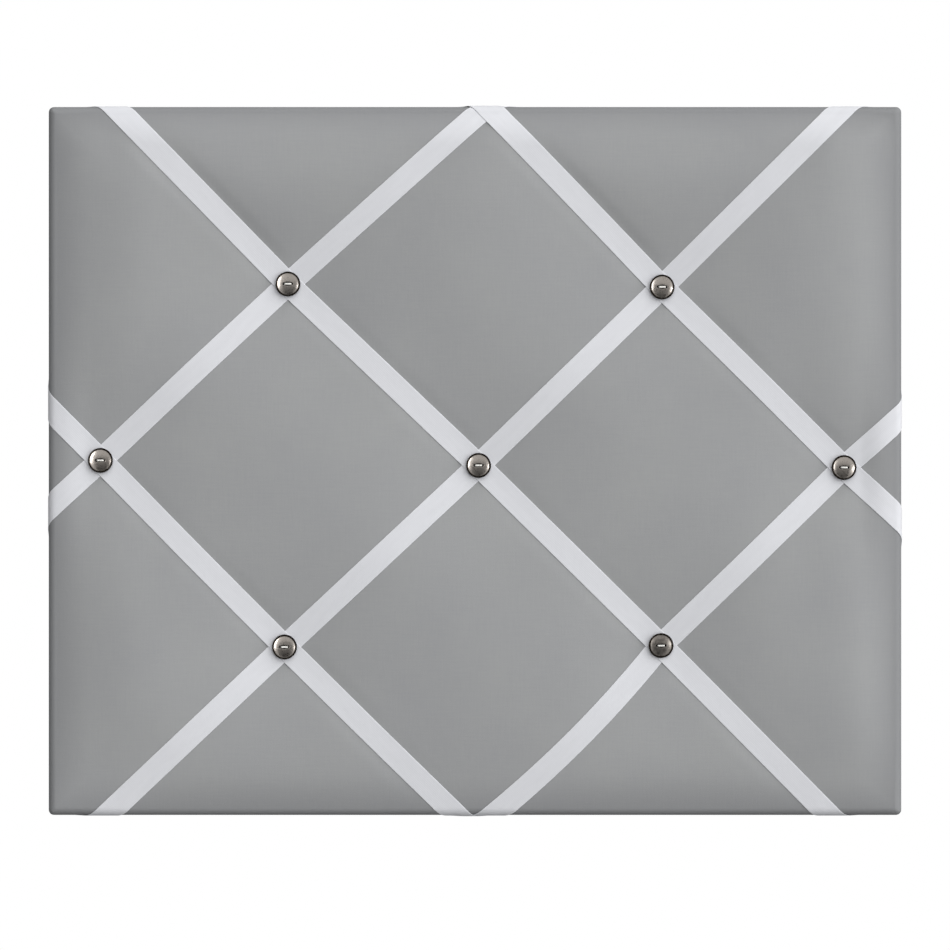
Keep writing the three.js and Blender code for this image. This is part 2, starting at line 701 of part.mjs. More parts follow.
// Ribbons and the staples on their tails
const stapleSlots = [];
const stapleHoles = [];
const staples = [];
for (const name of Object.keys(RIBBONS)) {
  const start = endRows(name, "start");
  const end = endRows(name, "end");
  const turned = (rows) => rows.map(([a, b, c, d]) => [b, a, d, c]);
  const front = frontRows(name);
  const aligned = (rows) => {
    const reference = front[0][0].clone().sub(front[0][1]);
    return rows[0][0].clone().sub(rows[0][1]).dot(reference) < 0 ? turned(rows) : rows;
  };
  const rows = [...aligned(start.rows).reverse(), ...front, ...aligned(end.rows)];
  let body = loft(rows);
  const trim = WIDTH / 2 - CORNER_TRIM;
  const endsAcross = [start, end].every(({ frame }) => frame.name === "top" || frame.name === "bottom");
  if (endsAcross) body = body.intersect(block(-trim, trim, CLEAR_FRONT, CLEAR_BACK, -HEIGHT, HEIGHT));
  body = body.subtract(allSlits);
  for (const { frame, stapleReach } of [start, end]) {
    const made = staple(frame, stapleReach);
    body = body.subtract(made.slot);
    stapleSlots.push(made.slot);
    stapleHoles.push(made.drilled);
    staples.push({ name: `staple_${name}_${frame.name}`, body: made.body });
  }
  piece(`ribbon_${name}`, body, RIBBON_COLOUR, 0.85, 0);
}
for (const made of staples) piece(made.name, made.body, STEEL_COLOUR, 0.4, 0.9);

// Fabric cover, wadding and board
const openX = WIDTH / 2 - HEM_WIDTH;
const openZ = HEIGHT / 2 - HEM_WIDTH;
const opening = block(-openX, openX, BOARD_FRONT, CLEAR_BACK, -openZ, openZ);
const backSlots = wasm.Manifold.union(stapleSlots).intersect(layer(BOARD_BACK, CLEAR_BACK));
const frontSlits = allSlits.intersect(layer(CLEAR_FRONT, BOARD_FRONT));
const shell = padded(0).subtract(padded(FABRIC_THICK)).subtract(opening);
const cover = shell.subtract(backSlots).subtract(frontSlits);
piece("fabric_cover", cover, FABRIC_COLOUR, 0.9, 0);

const inside = FABRIC_THICK + EASE;
const padRoom = layer(CLEAR_FRONT, PAD_BACK);
piece("wadding_pad", padded(inside).intersect(padRoom).subtract(frontSlits), WADDING_COLOUR, 1, 0);

const boardOutline = (ease, y) =>
  outline(WIDTH / 2 - inside - ease, HEIGHT / 2 - inside - ease, CORNER_RADIUS - inside - ease, y);
let board = loft([
  boardOutline(BOARD_CHAMFER, BOARD_BACK),
  boardOutline(0, BOARD_BACK - BOARD_CHAMFER),
  boardOutline(0, BOARD_FRONT),
]);
board = board.subtract(wasm.Manifold.union(threadHoles)).subtract(wasm.Manifold.union(stapleHoles));

// Buttons, turned about the thread axis, with a long eye and two holes
function buttonBody(place, seat) {
  const radius = BUTTON_DIAMETER / 2;
  const shoulder = radius - BUTTON_FOOT;
  const profile = new THREE.Path();
  profile.moveTo(0, 0);
  profile.lineTo(shoulder, 0);
  profile.quadraticCurveTo(radius, 0, radius, BUTTON_BELT);
  const edge = BUTTON_HEIGHT - BUTTON_FOOT / 4;
  profile.quadraticCurveTo(radius, edge - BUTTON_FOOT / 4, shoulder, edge);
  profile.quadraticCurveTo(shoulder / 2, BUTTON_HEIGHT, 0, BUTTON_HEIGHT);
  const turned = new THREE.LatheGeometry(profile.getPoints(PROFILE_STEPS), ROUND_SIDES).rotateX(Math.PI);
  let body = solid(turned.translate(place.x, seat, place.y));
  const eye = new THREE.SphereGeometry(1, 14, 8).scale(EYE_LENGTH / 2, EYE_DEPTH, EYE_WIDTH / 2);
  body = body.subtract(solid(eye.translate(place.x, seat - BUTTON_HEIGHT, place.y)));
  for (const side of [-0.5, 0.5]) {
    const wide = THREAD_THICK / 2 + EASE;
    const x = place.x + side * THREAD_SPACING;
    body = body.subtract(rod(wide, wide, CLEAR_FRONT, CLEAR_BACK, x, place.y, HOLE_SIDES));
  }
  return body;
}

// Thread tie: one loop through both holes, knotted behind the board
function tieBody(place, seat) {
  const half = THREAD_SPACING / 2;
  const front = seat - BUTTON_HEIGHT + EYE_DEPTH - EASE - THREAD_THICK / 2;
  const rear = BOARD_BACK + LAID + THREAD_THICK / 2;
  const points = [];
  const corners = [[1, front, 1], [-1, front, 1], [-1, rear, -1], [1, rear, -1]];
  corners.forEach(([side, y, inward], quarter) => {
    for (let k = 0; k <= 2; k += 1) {
      const turn = (Math.PI / 2) * (quarter + k / 2);
      const x = side * (half - THREAD_BEND) + THREAD_BEND * Math.cos(turn);
      const depth = y + THREAD_BEND * (inward - Math.sin(turn));
      points.push(new THREE.Vector3(place.x + x, depth, place.y));
    }
  });
  const loop = wireLoop(points, THREAD_THICK / 2, THREAD_SIDES, new THREE.Vector3(0, 0, 1));
  const knot = new THREE.SphereGeometry(KNOT_RADIUS, HOLE_SIDES, THREAD_SIDES);
  return loop.add(solid(knot.translate(place.x, BOARD_BACK + LAID + KNOT_RADIUS, place.y)));
}
for (const [name, place] of Object.entries(BUTTONS)) {
  const seat = FRONT + TUFT_DEPTH - 2 * STEP_OVER - EASE;
  piece(`button_${name}`, buttonBody(place, seat), BUTTON_COLOUR, 0.35, 1);
  piece(`tie_${name}`, tieBody(place, seat), THREAD_COLOUR, 0.9, 0);
}

// Folded strap: two leaves pressed together, open round the ring's bar
const BORE = RING_WIRE / 2 + EASE;
const BAR_Y = LAID + STRAP_THICK + BORE;
const STRAP_TOP = LAID + 2 * STRAP_THICK + STRAP_SLIT;
function strapBody() {
  const outer = BORE + STRAP_THICK;
  const sine = Math.sin(STRAP_BEND);
  const cosine = Math.cos(STRAP_BEND);
  const bend = (radius, level) => radius * sine + ((BAR_Y + radius * cosine - level) / sine) * cosine;
  const shape = new THREE.Shape();
  shape.moveTo(STRAP_LENGTH, LAID);
  shape.lineTo(0, LAID);
  shape.absarc(0, BAR_Y, outer, -Math.PI / 2, Math.PI / 2 - STRAP_BEND, true);
  shape.lineTo(bend(outer, STRAP_TOP), STRAP_TOP);
  shape.lineTo(STRAP_LENGTH, STRAP_TOP);
  shape.lineTo(STRAP_LENGTH, STRAP_TOP - STRAP_THICK);
  shape.lineTo(bend(BORE, STRAP_TOP - STRAP_THICK), STRAP_TOP - STRAP_THICK);
  shape.absarc(0, BAR_Y, BORE, Math.PI / 2 - STRAP_BEND, -Math.PI / 2, false);
  shape.lineTo(STRAP_LENGTH, LAID + STRAP_THICK);
  const side = { depth: STRAP_WIDTH, bevelEnabled: false, curveSegments: 2 * BEND_STEPS };
  const folded = new THREE.ExtrudeGeometry(shape, side).translate(0, 0, -STRAP_WIDTH / 2);
  folded.rotateY(Math.PI / 2);
  const half = STRAP_WIDTH / 2;
  const plan = new THREE.Shape();
  plan.moveTo(-half, -2 * outer);
  plan.lineTo(half, -2 * outer);
  plan.lineTo(half, STRAP_LENGTH - half);
  plan.absarc(0, STRAP_LENGTH - half, half, 0, Math.PI, false);
  const through = { depth: 2 * CLEAR_BACK, bevelEnabled: false, curveSegments: 2 * BEND_STEPS };
  const cutter = new THREE.ExtrudeGeometry(plan, through).rotateX(-Math.PI / 2);
  const rounded = solid(folded).intersect(solid(cutter.translate(0, -CLEAR_BACK, 0)));
  const wide = SCREW_RADIUS + EASE;
  return rounded.subtract(rod(wide, wide, CLEAR_FRONT, CLEAR_BACK, 0, -SCREW_PLACE, HOLE_SIDES));
}

// Ring of bent wire, its bar in the strap's fold
function ringBody() {
  const half = RING_INSIDE / 2 + RING_WIRE / 2;
  const points = [];
  const add = (x, z) => points.push(new THREE.Vector3(x, BAR_Y, z));
  for (let k = 0; k <= BEND_STEPS; k += 1) {
    const turn = -Math.PI / 2 + (k / BEND_STEPS) * (Math.PI / 2);
    add(half - RING_BEND + RING_BEND * Math.cos(turn), RING_BEND + RING_BEND * Math.sin(turn));
  }
  for (let k = 0; k <= RING_STEPS; k += 1) {
    const turn = (k / RING_STEPS) * Math.PI;
    add(half * Math.cos(turn), RING_BEND + RING_SIDES + half * Math.sin(turn));
  }
  for (let k = 0; k <= BEND_STEPS; k += 1) {
    const turn = Math.PI + (k / BEND_STEPS) * (Math.PI / 2);
    add(-half + RING_BEND + RING_BEND * Math.cos(turn), RING_BEND + RING_BEND * Math.sin(turn));
  }
  return wireLoop(points, RING_WIRE / 2, WIRE_SIDES, new THREE.Vector3(0, 1, 0));
}

// Pan-head screw with a cross recess
const SCREW_SEAT = STRAP_TOP + LAID;
function screwBody() {
  const head = SCREW_HEAD / 2;
  const profile = new THREE.Path();
  profile.moveTo(0, -SCREW_LENGTH);
  profile.lineTo(SCREW_RADIUS, SCREW_POINT - SCREW_LENGTH);
  profile.lineTo(SCREW_RADIUS, 0);
  profile.lineTo(head, 0);
  profile.lineTo(head, SCREW_DOME / 3);
  profile.quadraticCurveTo(head, SCREW_DOME, 0, SCREW_DOME);
  const turned = new THREE.LatheGeometry(profile.getPoints(PROFILE_STEPS), ROUND_SIDES);
  let body = solid(turned.translate(0, SCREW_SEAT, -SCREW_PLACE));
  const floor = SCREW_SEAT + SCREW_DOME - RECESS_DEPTH;
  for (const [wide, high] of [[RECESS_LENGTH, RECESS_WIDTH], [RECESS_WIDTH, RECESS_LENGTH]]) {
    const [x, z] = [wide / 2, high / 2];
    body = body.subtract(block(-x, x, floor, CLEAR_BACK, -SCREW_PLACE - z, -SCREW_PLACE + z));
  }
  return body;
}

// Back sheet, its rear face divided so that the wall face stays clear of the hangers
function sheetBody() {
  const lines = (half) => [SHEET_INSET - half, WALL_FACE_LOW, WALL_FACE_HIGH, half - SHEET_INSET];
  const linesX = lines(WIDTH / 2);
  const linesZ = lines(HEIGHT / 2);
  const box = new THREE.BoxGeometry(1, SHEET_THICK, 1, 3, 1, 3);
  const { position } = box.attributes;
  for (let i = 0; i < position.count; i += 1) {
    position.setX(i, linesX[Math.round((position.getX(i) + 0.5) * 3)]);
    position.setZ(i, linesZ[Math.round((position.getZ(i) + 0.5) * 3)]);
  }
  box.translate(0, -SHEET_THICK / 2, 0);
  const faceID = Uint32Array.from({ length: box.index.count / 3 }, (_, i) => i);
  return solid(box, faceID);
}
let sheet = sheetBody();

// Hangers: the upper one for landscape, the side one for portrait
const turnedBody = (body, turn, x, z) => body.rotate([0, turn, 0]).translate([x, 0, z]);
const HANGERS = [
  { name: "top", turn: 0, x: 0, z: HEIGHT / 2 - HANGER_INSET },
  { name: "side", turn: 90, x: WIDTH / 2 - HANGER_INSET, z: 0 },
];
for (const { name, turn, x, z } of HANGERS) {
  piece(`hanger_strap_${name}`, turnedBody(strapBody(), turn, x, z), STEEL_COLOUR, 0.35, 1);
  piece(`hanger_ring_${name}`, turnedBody(ringBody(), turn, x, z), STEEL_COLOUR, 0.3, 1);
  piece(`hanger_screw_${name}`, turnedBody(screwBody(), turn, x, z), STEEL_COLOUR, 0.35, 1);
  const wide = SCREW_RADIUS + EASE;
  const tip = SCREW_SEAT - SCREW_LENGTH - EASE;
  const hole = turnedBody(rod(wide, wide, tip, CLEAR_BACK, 0, -SCREW_PLACE, HOLE_SIDES), turn, x, z);
  sheet = sheet.subtract(hole);
  board = board.subtract(hole);
}
piece("back_sheet", sheet, SHEET_COLOUR, 0.9, 0);
piece("backing_board", board, BOARD_COLOUR, 0.85, 0);

export default part;
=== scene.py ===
import math
import random

import bpy
import numpy as np
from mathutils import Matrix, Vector, noise


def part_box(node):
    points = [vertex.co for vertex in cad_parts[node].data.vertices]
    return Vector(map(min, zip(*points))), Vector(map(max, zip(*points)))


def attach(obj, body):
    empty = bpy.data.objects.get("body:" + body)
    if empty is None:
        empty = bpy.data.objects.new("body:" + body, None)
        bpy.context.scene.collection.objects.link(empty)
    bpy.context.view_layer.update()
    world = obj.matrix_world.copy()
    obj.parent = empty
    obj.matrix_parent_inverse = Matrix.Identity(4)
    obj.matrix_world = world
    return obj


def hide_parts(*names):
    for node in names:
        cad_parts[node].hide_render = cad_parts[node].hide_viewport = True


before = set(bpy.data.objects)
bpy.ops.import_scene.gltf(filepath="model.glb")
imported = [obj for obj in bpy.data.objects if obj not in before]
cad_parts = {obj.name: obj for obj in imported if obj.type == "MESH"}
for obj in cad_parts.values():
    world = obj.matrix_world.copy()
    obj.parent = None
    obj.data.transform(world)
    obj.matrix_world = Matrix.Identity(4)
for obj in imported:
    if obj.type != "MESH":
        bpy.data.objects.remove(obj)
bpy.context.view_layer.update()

# Lengths are in millimetres, apart from the stage's, and meshes are written in metres
MM = 0.001


def node_box(name):
    """Lowest and highest corner of a CAD node, in millimetres."""
    low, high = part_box(name)
    return np.array(low) / MM, np.array(high) / MM


# Camera: straight on to the board, which hangs a little above the middle of the picture
FRAME_WIDTH = 535.0
CAMERA_DISTANCE = 2750.0
CAMERA_HEIGHT = -7.9
SENSOR_WIDTH = 36.0

# Board and cloth, with y the depth: the front faces -y and the wall is at 0
COVER_HIGH = node_box("fabric_cover")[1]
OUTLINE_TRIM = (0.0, 0.7)
HALF = COVER_HIGH[[0, 2]] - OUTLINE_TRIM
FRONT_DEPTH = -18.8
HEM_DEPTH = COVER_HIGH[1]
PAD_BACK = node_box("wadding_pad")[1][1]
EDGE_ROLL = 4.0
EDGE_DROP = 5.0
EDGE_POWER = 2.2
BACK_ROLL = 1.2
CORNER_RADIUS = 3.0
SHARP_CORNER = 1.0
CLOTH_THICK = 0.6
HEM_WIDTH = 22.0
FLAT_HALF = HALF - EDGE_ROLL

# Padding: fall of the front towards its left and bottom, right and top edges, draw of the buttons, crown
# of the pillows, and unevenness
EDGE_FALL = 5.5
EDGE_SPANS = (80.0, 80.0), (42.0, 18.0)
EDGE_SLOPE = 0.2
EDGE_EASE = 20.0
TUFT_STACK = 0.85
TUFT_FLAT = 6.0
TUFT_EASE = 5.0
TUFT_REACH = 78.0
TUFT_POWER = 1.7
PILLOW_CROWN = 5.6
PILLOW_EASE = 6.0
PILLOW_TUCK = 0.3
PILLOW_EVEN = 0.72
PILLOW_TENT = 0.7
UNEVEN_HEIGHT = 0.25
UNEVEN_SPAN = 38.0
PRESSURE = 8.0
CLOTH_FRAMES = 24
CALM_ROUNDS = 20
RIBBON_HOLD = (-0.5, 2.0)
SIDE_HOLD = (-3.5, -0.5)
PAD_GAP = 1.0
PAD_STRIDE = 2

# The rolled edge starts with a slope, and meets the side at this depth
OUTLINE_DEPTH = FRONT_DEPTH + EDGE_ROLL * EDGE_SLOPE + EDGE_DROP

# Cloth mesh: spacing of its lines, closer towards the edges, and the rings that go round the edges
GRID_STEP = 2.5
BORDER_STEPS = (0.5, 0.5, 0.75, 1.0, 1.5, 2.0)
CORNER_REACH = 26.0
ROLL_RINGS = 12
SIDE_RINGS = 3
BACK_RINGS = 3
HEM_RINGS = 5

# Ribbons
RIBBON_WIDTH = 12.8
RIBBON_THICK = 0.28
SELVEDGE_WIDTH = 0.9
SELVEDGE_RISE = 0.01
RIBBON_LIFT = 0.1
RIBBON_STEP = 0.36
RIBBON_RAMP = 6.0
RIBBON_BOW = 3.3
RIBBON_SAMPLE = 1.0
RIBBON_COLUMNS = 11
RIBBON_STRIDE = 8
TAIL_LENGTH = 15.0
CORNER_TRIM = 3.0
CROSSING_EASE = 0.8

# Each ribbon starts at a place along one edge, passes under its buttons and ends along another edge
ROUTES = {
    "fall_left": ("left", 30.0, ("middle_left", "bottom_left"), "bottom", -10.4),
    "fall_centre": ("top", -202.4, ("top_left", "centre", "bottom_right"), "bottom", 199.0),
    "fall_right": ("top", 6.9, ("top_right", "middle_right"), "right", -33.57),
    "rise_left": ("left", -26.97, ("middle_left", "top_left"), "top", 6.6),
    "rise_centre": ("bottom", -207.2, ("bottom_left", "centre", "top_right"), "top", 207.5),
    "rise_right": ("bottom", 10.1, ("bottom_right", "middle_right"), "right", 25.37),
}
BOWED = "rise_right"
EDGES = {"left": (-1, 0), "right": (1, 0), "bottom": (0, -1), "top": (0, 1)}

# Buttons, one of which leans and is darkened all over with painted shade, and the thread in their eyes
BUTTONS = ("top_left", "top_right", "middle_left", "centre", "middle_right", "bottom_left", "bottom_right")
BUTTON_HEIGHT = 3.8
BUTTON_SIDES = 96
BUTTON_TILT = {"bottom_right": (0.1, -0.06)}
# Painted shade that darkens the leaning button, in place of the darker reflection that its lean gives
BUTTON_PAINTED_SHADE = {"bottom_right": 0.4}
FOOT_RADIUS = 5.4
RIM_RADIUS = 6.2
DOME_BASE = 2.35
EYE_HALF_LENGTH = 3.2
EYE_HALF_WIDTH = 1.15
EYE_DEPTH = 0.9
HOLE_PLACE = 2.15
HOLE_RADIUS = 0.72
HOLE_DEPTH = 1.6
STRAND_PLACE = 1.8
STRAND_RADIUS = 0.24
STRAND_TWIST = 1.1
STRAND_BEND = 0.6

# Staples along the edge of the back sheet
STAPLE_INSET = 7.0
STAPLE_SPACING = 62.0
STAPLE_CROWN = 10.0
STAPLE_WIRE = 0.55
STAPLE_HEIGHT = 0.4

# Hangers: wire ring, folded strap and screw
WIRE_RADIUS = 1.0
RING_HALF = 7.0
RING_BEND = 2.0
BAR_HEIGHT = 2.1
STRAP_WIDTH = 9.0
STRAP_LENGTH = 14.5
STRAP_THICK = 0.7
STRAP_LOW = 0.45
STRAP_HIGH = 1.35
SCREW_PLACE = 10.0
SCREW_SEAT = 1.8
SCREW_HEAD = 2.8
SCREW_DOME = 2.0
SCREW_SHANK = 1.45
RECESS_REACH = 1.5
RECESS_WIDTH = 0.32
RECESS_DEPTH = 1.0

# Place (x, z) of each hanger's bar, and the directions along the bar and towards the edge
HANGERS = {"top": (0.0, 166.0, (-1, 0, 0), (0, 0, 1)), "side": (206.0, 0.0, (0, 0, 1), (1, 0, 0))}


# Numbers and vectors

def smooth_step(low, high, value):
    """Rises smoothly from 0 at low to 1 at high."""
    share = np.clip((np.asarray(value, float) - low) / (high - low), 0, 1)
    return share * share * (3 - 2 * share)


def unit(vectors):
    return vectors / np.linalg.norm(vectors, axis=-1, keepdims=True)


def turned(vectors):
    """Plane vectors turned a quarter to the left."""
    return np.stack([-vectors[..., 1], vectors[..., 0]], axis=-1)


def cross(first, second):
    return first[..., 0] * second[..., 1] - first[..., 1] * second[..., 0]


def at_depth(places, depth):
    """Points (x, y, z) from places (x, z) and one depth y, or one for each."""
    return np.insert(places, 1, depth, axis=1)


# Meshes and pieces

def make_mesh(name, points, faces, flat=None):
    """A smooth mesh object from points in millimetres, with a flat map if given."""
    mesh = bpy.data.meshes.new(name)
    mesh.from_pydata((np.asarray(points) * MM).tolist(), [], faces)
    mesh.shade_smooth()
    if flat is not None:
        corners = np.empty(len(mesh.loops), dtype=np.int32)
        mesh.loops.foreach_get("vertex_index", corners)
        layer = mesh.uv_layers.new(name="laid_flat")
        layer.data.foreach_set("uv", (np.asarray(flat)[corners] * MM).ravel())
    piece = bpy.data.objects.new(name, mesh)
    bpy.context.collection.objects.link(piece)
    return piece


def settle(piece, material, body="board", nodes=()):
    """Gives a piece its material, its body and the CAD nodes that it stands for."""
    piece.data.materials.append(material)
    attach(piece, body)
    if nodes:
        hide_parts(*nodes)


def quads_between(rows, columns, closed=True):
    """Faces of a net of rows by columns, whose columns close into a ring if asked."""
    grid = np.arange(rows * columns).reshape(rows, columns)
    after = np.roll(grid, -1, axis=1)
    corners = np.stack([grid[:-1], after[:-1], after[1:], grid[1:]], axis=-1)
    if not closed:
        corners = corners[:, :-1]
    return [tuple(face) for face in corners.reshape(-1, 4).tolist()]


def capped_sweep(rows):
    """Closed solid through rings of points: rows is an array of rings, points and coordinates."""
    count, columns = rows.shape[:2]
    faces = quads_between(count, columns)
    faces.append(tuple(range(columns - 1, -1, -1)))
    faces.append(tuple(range((count - 1) * columns, count * columns)))
    return rows.reshape(-1, 3), faces


def joined(forms):
    """Points and faces of several forms, in one list each."""
    points, faces, start = [], [], 0
    for form, form_faces in forms:
        points.append(form)
        faces += [tuple(corner + start for corner in face) for face in form_faces]
        start += len(form)
    return np.concatenate(points), faces


def loop_sweep(path, normal, radius, sides):
    """Closed ring of a round section along a flat loop. radius gives each step's radius at each angle."""
    side = np.cross(normal, unit(np.roll(path, -1, axis=0) - np.roll(path, 1, axis=0)))
    angles = np.linspace(0, 2 * math.pi, sides, endpoint=False)
    reach = radius(angles)
    rows = path[:, None, :] + (reach * np.cos(angles))[..., None] * side[:, None, :]
    rows = rows + (reach * np.sin(angles))[..., None] * np.asarray(normal, float)
    faces = quads_between(len(path) + 1, sides)
    total = len(path) * sides
    return rows.reshape(-1, 3), [tuple(corner % total for corner in face) for face in faces]


def lathe(profile, sides, carve):
    """Closed turned solid from (radius, height) points, foot first. carve takes height off at a place."""
    rings = profile[1:-1]
    angles = np.linspace(0, 2 * math.pi, sides, endpoint=False)
    points = []
    for radius, height in rings:
        across, up = radius * np.cos(angles), radius * np.sin(angles)
        cut = carve(across, up, height)
        points.append(np.stack([across, up, height - cut], axis=1))
    points = np.concatenate(points)
    middle_cut = carve(np.zeros(1), np.zeros(1), profile[-1][1])
    foot, top = len(points), len(points) + 1
    points = np.vstack([points, [0, 0, profile[0][1]], [0, 0, profile[-1][1] - middle_cut[0]]])
    faces = quads_between(len(rings), sides)
    last = (len(rings) - 1) * sides
    for step in range(sides):
        after = (step + 1) % sides
        faces.append((foot, after, step))
        faces.append((last + step, last + after, top))
    return points, faces


# Materials

def srgb(red, green, blue):
    """A colour given from 0 to 255, in the linear values that shaders take."""
    shares = [value / 255 for value in (red, green, blue)]
    linear = [s / 12.92 if s <= 0.04045 else ((s + 0.055) / 1.055) ** 2.4 for s in shares]
    return (*linear, 1.0)


# Dark and light tone of each material
TONES = {
    "cloth": (srgb(149, 150, 152), srgb(157, 158, 158)),
    "ribbon": (srgb(205, 206, 210), srgb(218, 219, 223)),
    "nickel": (srgb(26, 21, 16), srgb(154, 148, 142)),
    "thread": (srgb(224, 222, 216), srgb(250, 249, 245)),
    "steel": (srgb(148, 150, 152), srgb(196, 196, 192)),
    "card": (srgb(36, 36, 38), srgb(72, 72, 74)),
    "fibreboard": (srgb(122, 92, 62), srgb(160, 126, 88)),
    "wadding": (srgb(214, 212, 206), srgb(240, 239, 235)),
    "floor": (srgb(243, 243, 243), srgb(248, 248, 248)),
}
# Painted shade: the colour that the cloth darkens to along the board's edges
CLOTH_PAINTED_SHADE = srgb(126, 127, 129)


def shader_inputs(material):
    return material.node_tree.nodes["Principled BSDF"].inputs


def new_material(name, **sockets):
    """A material with the shader's constant values, and its node tree."""
    material = bpy.data.materials.new(name)
    material.use_nodes = True
    for key, value in sockets.items():
        shader_inputs(material)[key.replace("_", " ")].default_value = value
    return material, material.node_tree


def add(tree, kind, inputs=None, **settings):
    """A shader node with its settings, and its inputs set or linked."""
    made = tree.nodes.new("ShaderNode" + kind)
    for key, value in settings.items():
        setattr(made, key, value)
    for key, value in (inputs or {}).items():
        if isinstance(value, bpy.types.NodeSocket):
            tree.links.new(value, made.inputs[key])
        else:
            made.inputs[key].default_value = value
    return made


def maths(tree, operation, first, second=0.5, third=0.5):
    return add(tree, "Math", {0: first, 1: second, 2: third}, operation=operation).outputs[0]


def flat_coordinates(tree):
    return add(tree, "UVMap", uv_map="laid_flat").outputs["UV"]


def place_coordinates(tree):
    return add(tree, "TexCoord").outputs["Object"]


def bands(tree, coordinates, direction, period):
    """Waves of a period in metres along one direction, from 0 to 1."""
    inputs = {"Vector": coordinates, "Scale": math.pi / (10 * period)}
    return add(tree, "TexWave", inputs, bands_direction=direction).outputs["Fac"]


def speckle(tree, scale, detail=2.0, stretch=(1, 1, 1), coordinates=None):
    """Noise of a scale per metre, drawn out along an axis where its stretch is small."""
    inputs = {"Vector": coordinates or place_coordinates(tree), "Scale": stretch}
    mapped = add(tree, "Mapping", inputs).outputs[0]
    return add(tree, "TexNoise", {"Vector": mapped, "Scale": scale, "Detail": detail}).outputs["Fac"]


def span(tree, value, low, high, start=0.0, end=1.0):
    """Value spread from start to end over low to high."""
    inputs = {"Value": value, "From Min": low, "From Max": high, "To Min": start, "To Max": end}
    return add(tree, "MapRange", inputs).outputs[0]


def tone(tree, share, dark, light):
    """Colour between dark and light by a share."""
    return add(tree, "Mix", {0: share, 6: dark, 7: light}, data_type="RGBA").outputs[2]


def finished(material, colour, roughness=None, height=None, strength=0.3, distance=0.0002):
    """The material, with colour, roughness and bump height linked to its shader."""
    tree, inputs = material.node_tree, shader_inputs(material)
    tree.links.new(colour, inputs["Base Color"])
    if roughness is not None:
        tree.links.new(roughness, inputs["Roughness"])
    if height is not None:
        bump = add(tree, "Bump", {"Height": height, "Strength": strength, "Distance": distance})
        tree.links.new(bump.outputs[0], inputs["Normal"])
    return material


THREAD_PITCH = 0.00052
# Width and strength of the painted shade that darkens the cloth along the board's edges
PAINTED_SHADE_WIDTH = 24.0
PAINTED_SHADE_SHARE = 0.76


def painted_edge_shade(tree, flat):
    """Share of painted shade on the cloth, which grows towards the board's edges."""
    places = add(tree, "SeparateXYZ", {0: flat}).outputs
    shares = []
    for axis, half in zip("XY", HALF):
        away = maths(tree, "ABSOLUTE", places[axis])
        shares.append(span(tree, away, (half - PAINTED_SHADE_WIDTH) * MM, half * MM))
    nearest = maths(tree, "MAXIMUM", *shares)
    return maths(tree, "MULTIPLY", maths(tree, "POWER", nearest, 1.5), PAINTED_SHADE_SHARE)


def cloth_material():
    """Grey plain-weave cotton with slubs in both directions, and painted shade that darkens it along the
    edges.
    """
    material, tree = new_material("grey_cloth", Specular_IOR_Level=0.0)
    flat = flat_coordinates(tree)
    warp = maths(tree, "SUBTRACT", bands(tree, flat, "X", THREAD_PITCH))
    weft = maths(tree, "SUBTRACT", bands(tree, flat, "Y", THREAD_PITCH))
    weave = maths(tree, "MULTIPLY_ADD", warp, weft)
    slub_along = speckle(tree, 1.0, 2.0, (70, 900, 1), coordinates=flat)
    slub_across = speckle(tree, 1.0, 2.0, (900, 70, 1), coordinates=flat)
    slubs = maths(tree, "ADD", slub_along, slub_across)
    patches = speckle(tree, 16, 2.0, coordinates=flat)
    share = maths(tree, "ADD", span(tree, slubs, 0.6, 1.4, -0.2, 0.2), patches)
    share = maths(tree, "ADD", share, span(tree, weave, 0.25, 0.75, -0.2, 0.2))
    colour = tone(tree, share, *TONES["cloth"])
    # Painted shade that darkens the cloth towards the board's edges
    colour = tone(tree, painted_edge_shade(tree, flat), colour, CLOTH_PAINTED_SHADE)
    height = maths(tree, "MULTIPLY_ADD", slubs, 0.6, weave)
    return finished(material, colour, span(tree, patches, 0.2, 0.8, 0.82, 0.94), height, 0.35, 0.00012)


RIB_PITCH = 0.00095


def ribbon_material():
    """Pale woven ribbon: fine ribs across it, threads along it and closer selvedges."""
    material, tree = new_material("pale_ribbon", Specular_IOR_Level=0.0)
    flat = flat_coordinates(tree)
    ribs = bands(tree, flat, "X", RIB_PITCH)
    threads = bands(tree, flat, "Y", RIB_PITCH)
    weave = maths(tree, "MULTIPLY", ribs, threads)
    across = maths(tree, "ABSOLUTE", add(tree, "SeparateXYZ", {0: flat}).outputs["Y"])
    edge = span(tree, across, (RIBBON_WIDTH / 2 - SELVEDGE_WIDTH) * MM, (RIBBON_WIDTH / 2 - 0.3) * MM)
    patches = speckle(tree, 1.0, 2.0, (60, 300, 1), coordinates=flat)
    share = span(tree, weave, 0.0, 1.0, -0.15, 0.15)
    share = maths(tree, "ADD", share, span(tree, patches, 0.0, 1.0, 0.2, 0.8))
    share = maths(tree, "MULTIPLY_ADD", edge, 0.3, share)
    colour = tone(tree, share, *TONES["ribbon"])
    return finished(material, colour, span(tree, patches, 0.2, 0.8, 0.6, 0.75), weave, 0.25, 0.0001)


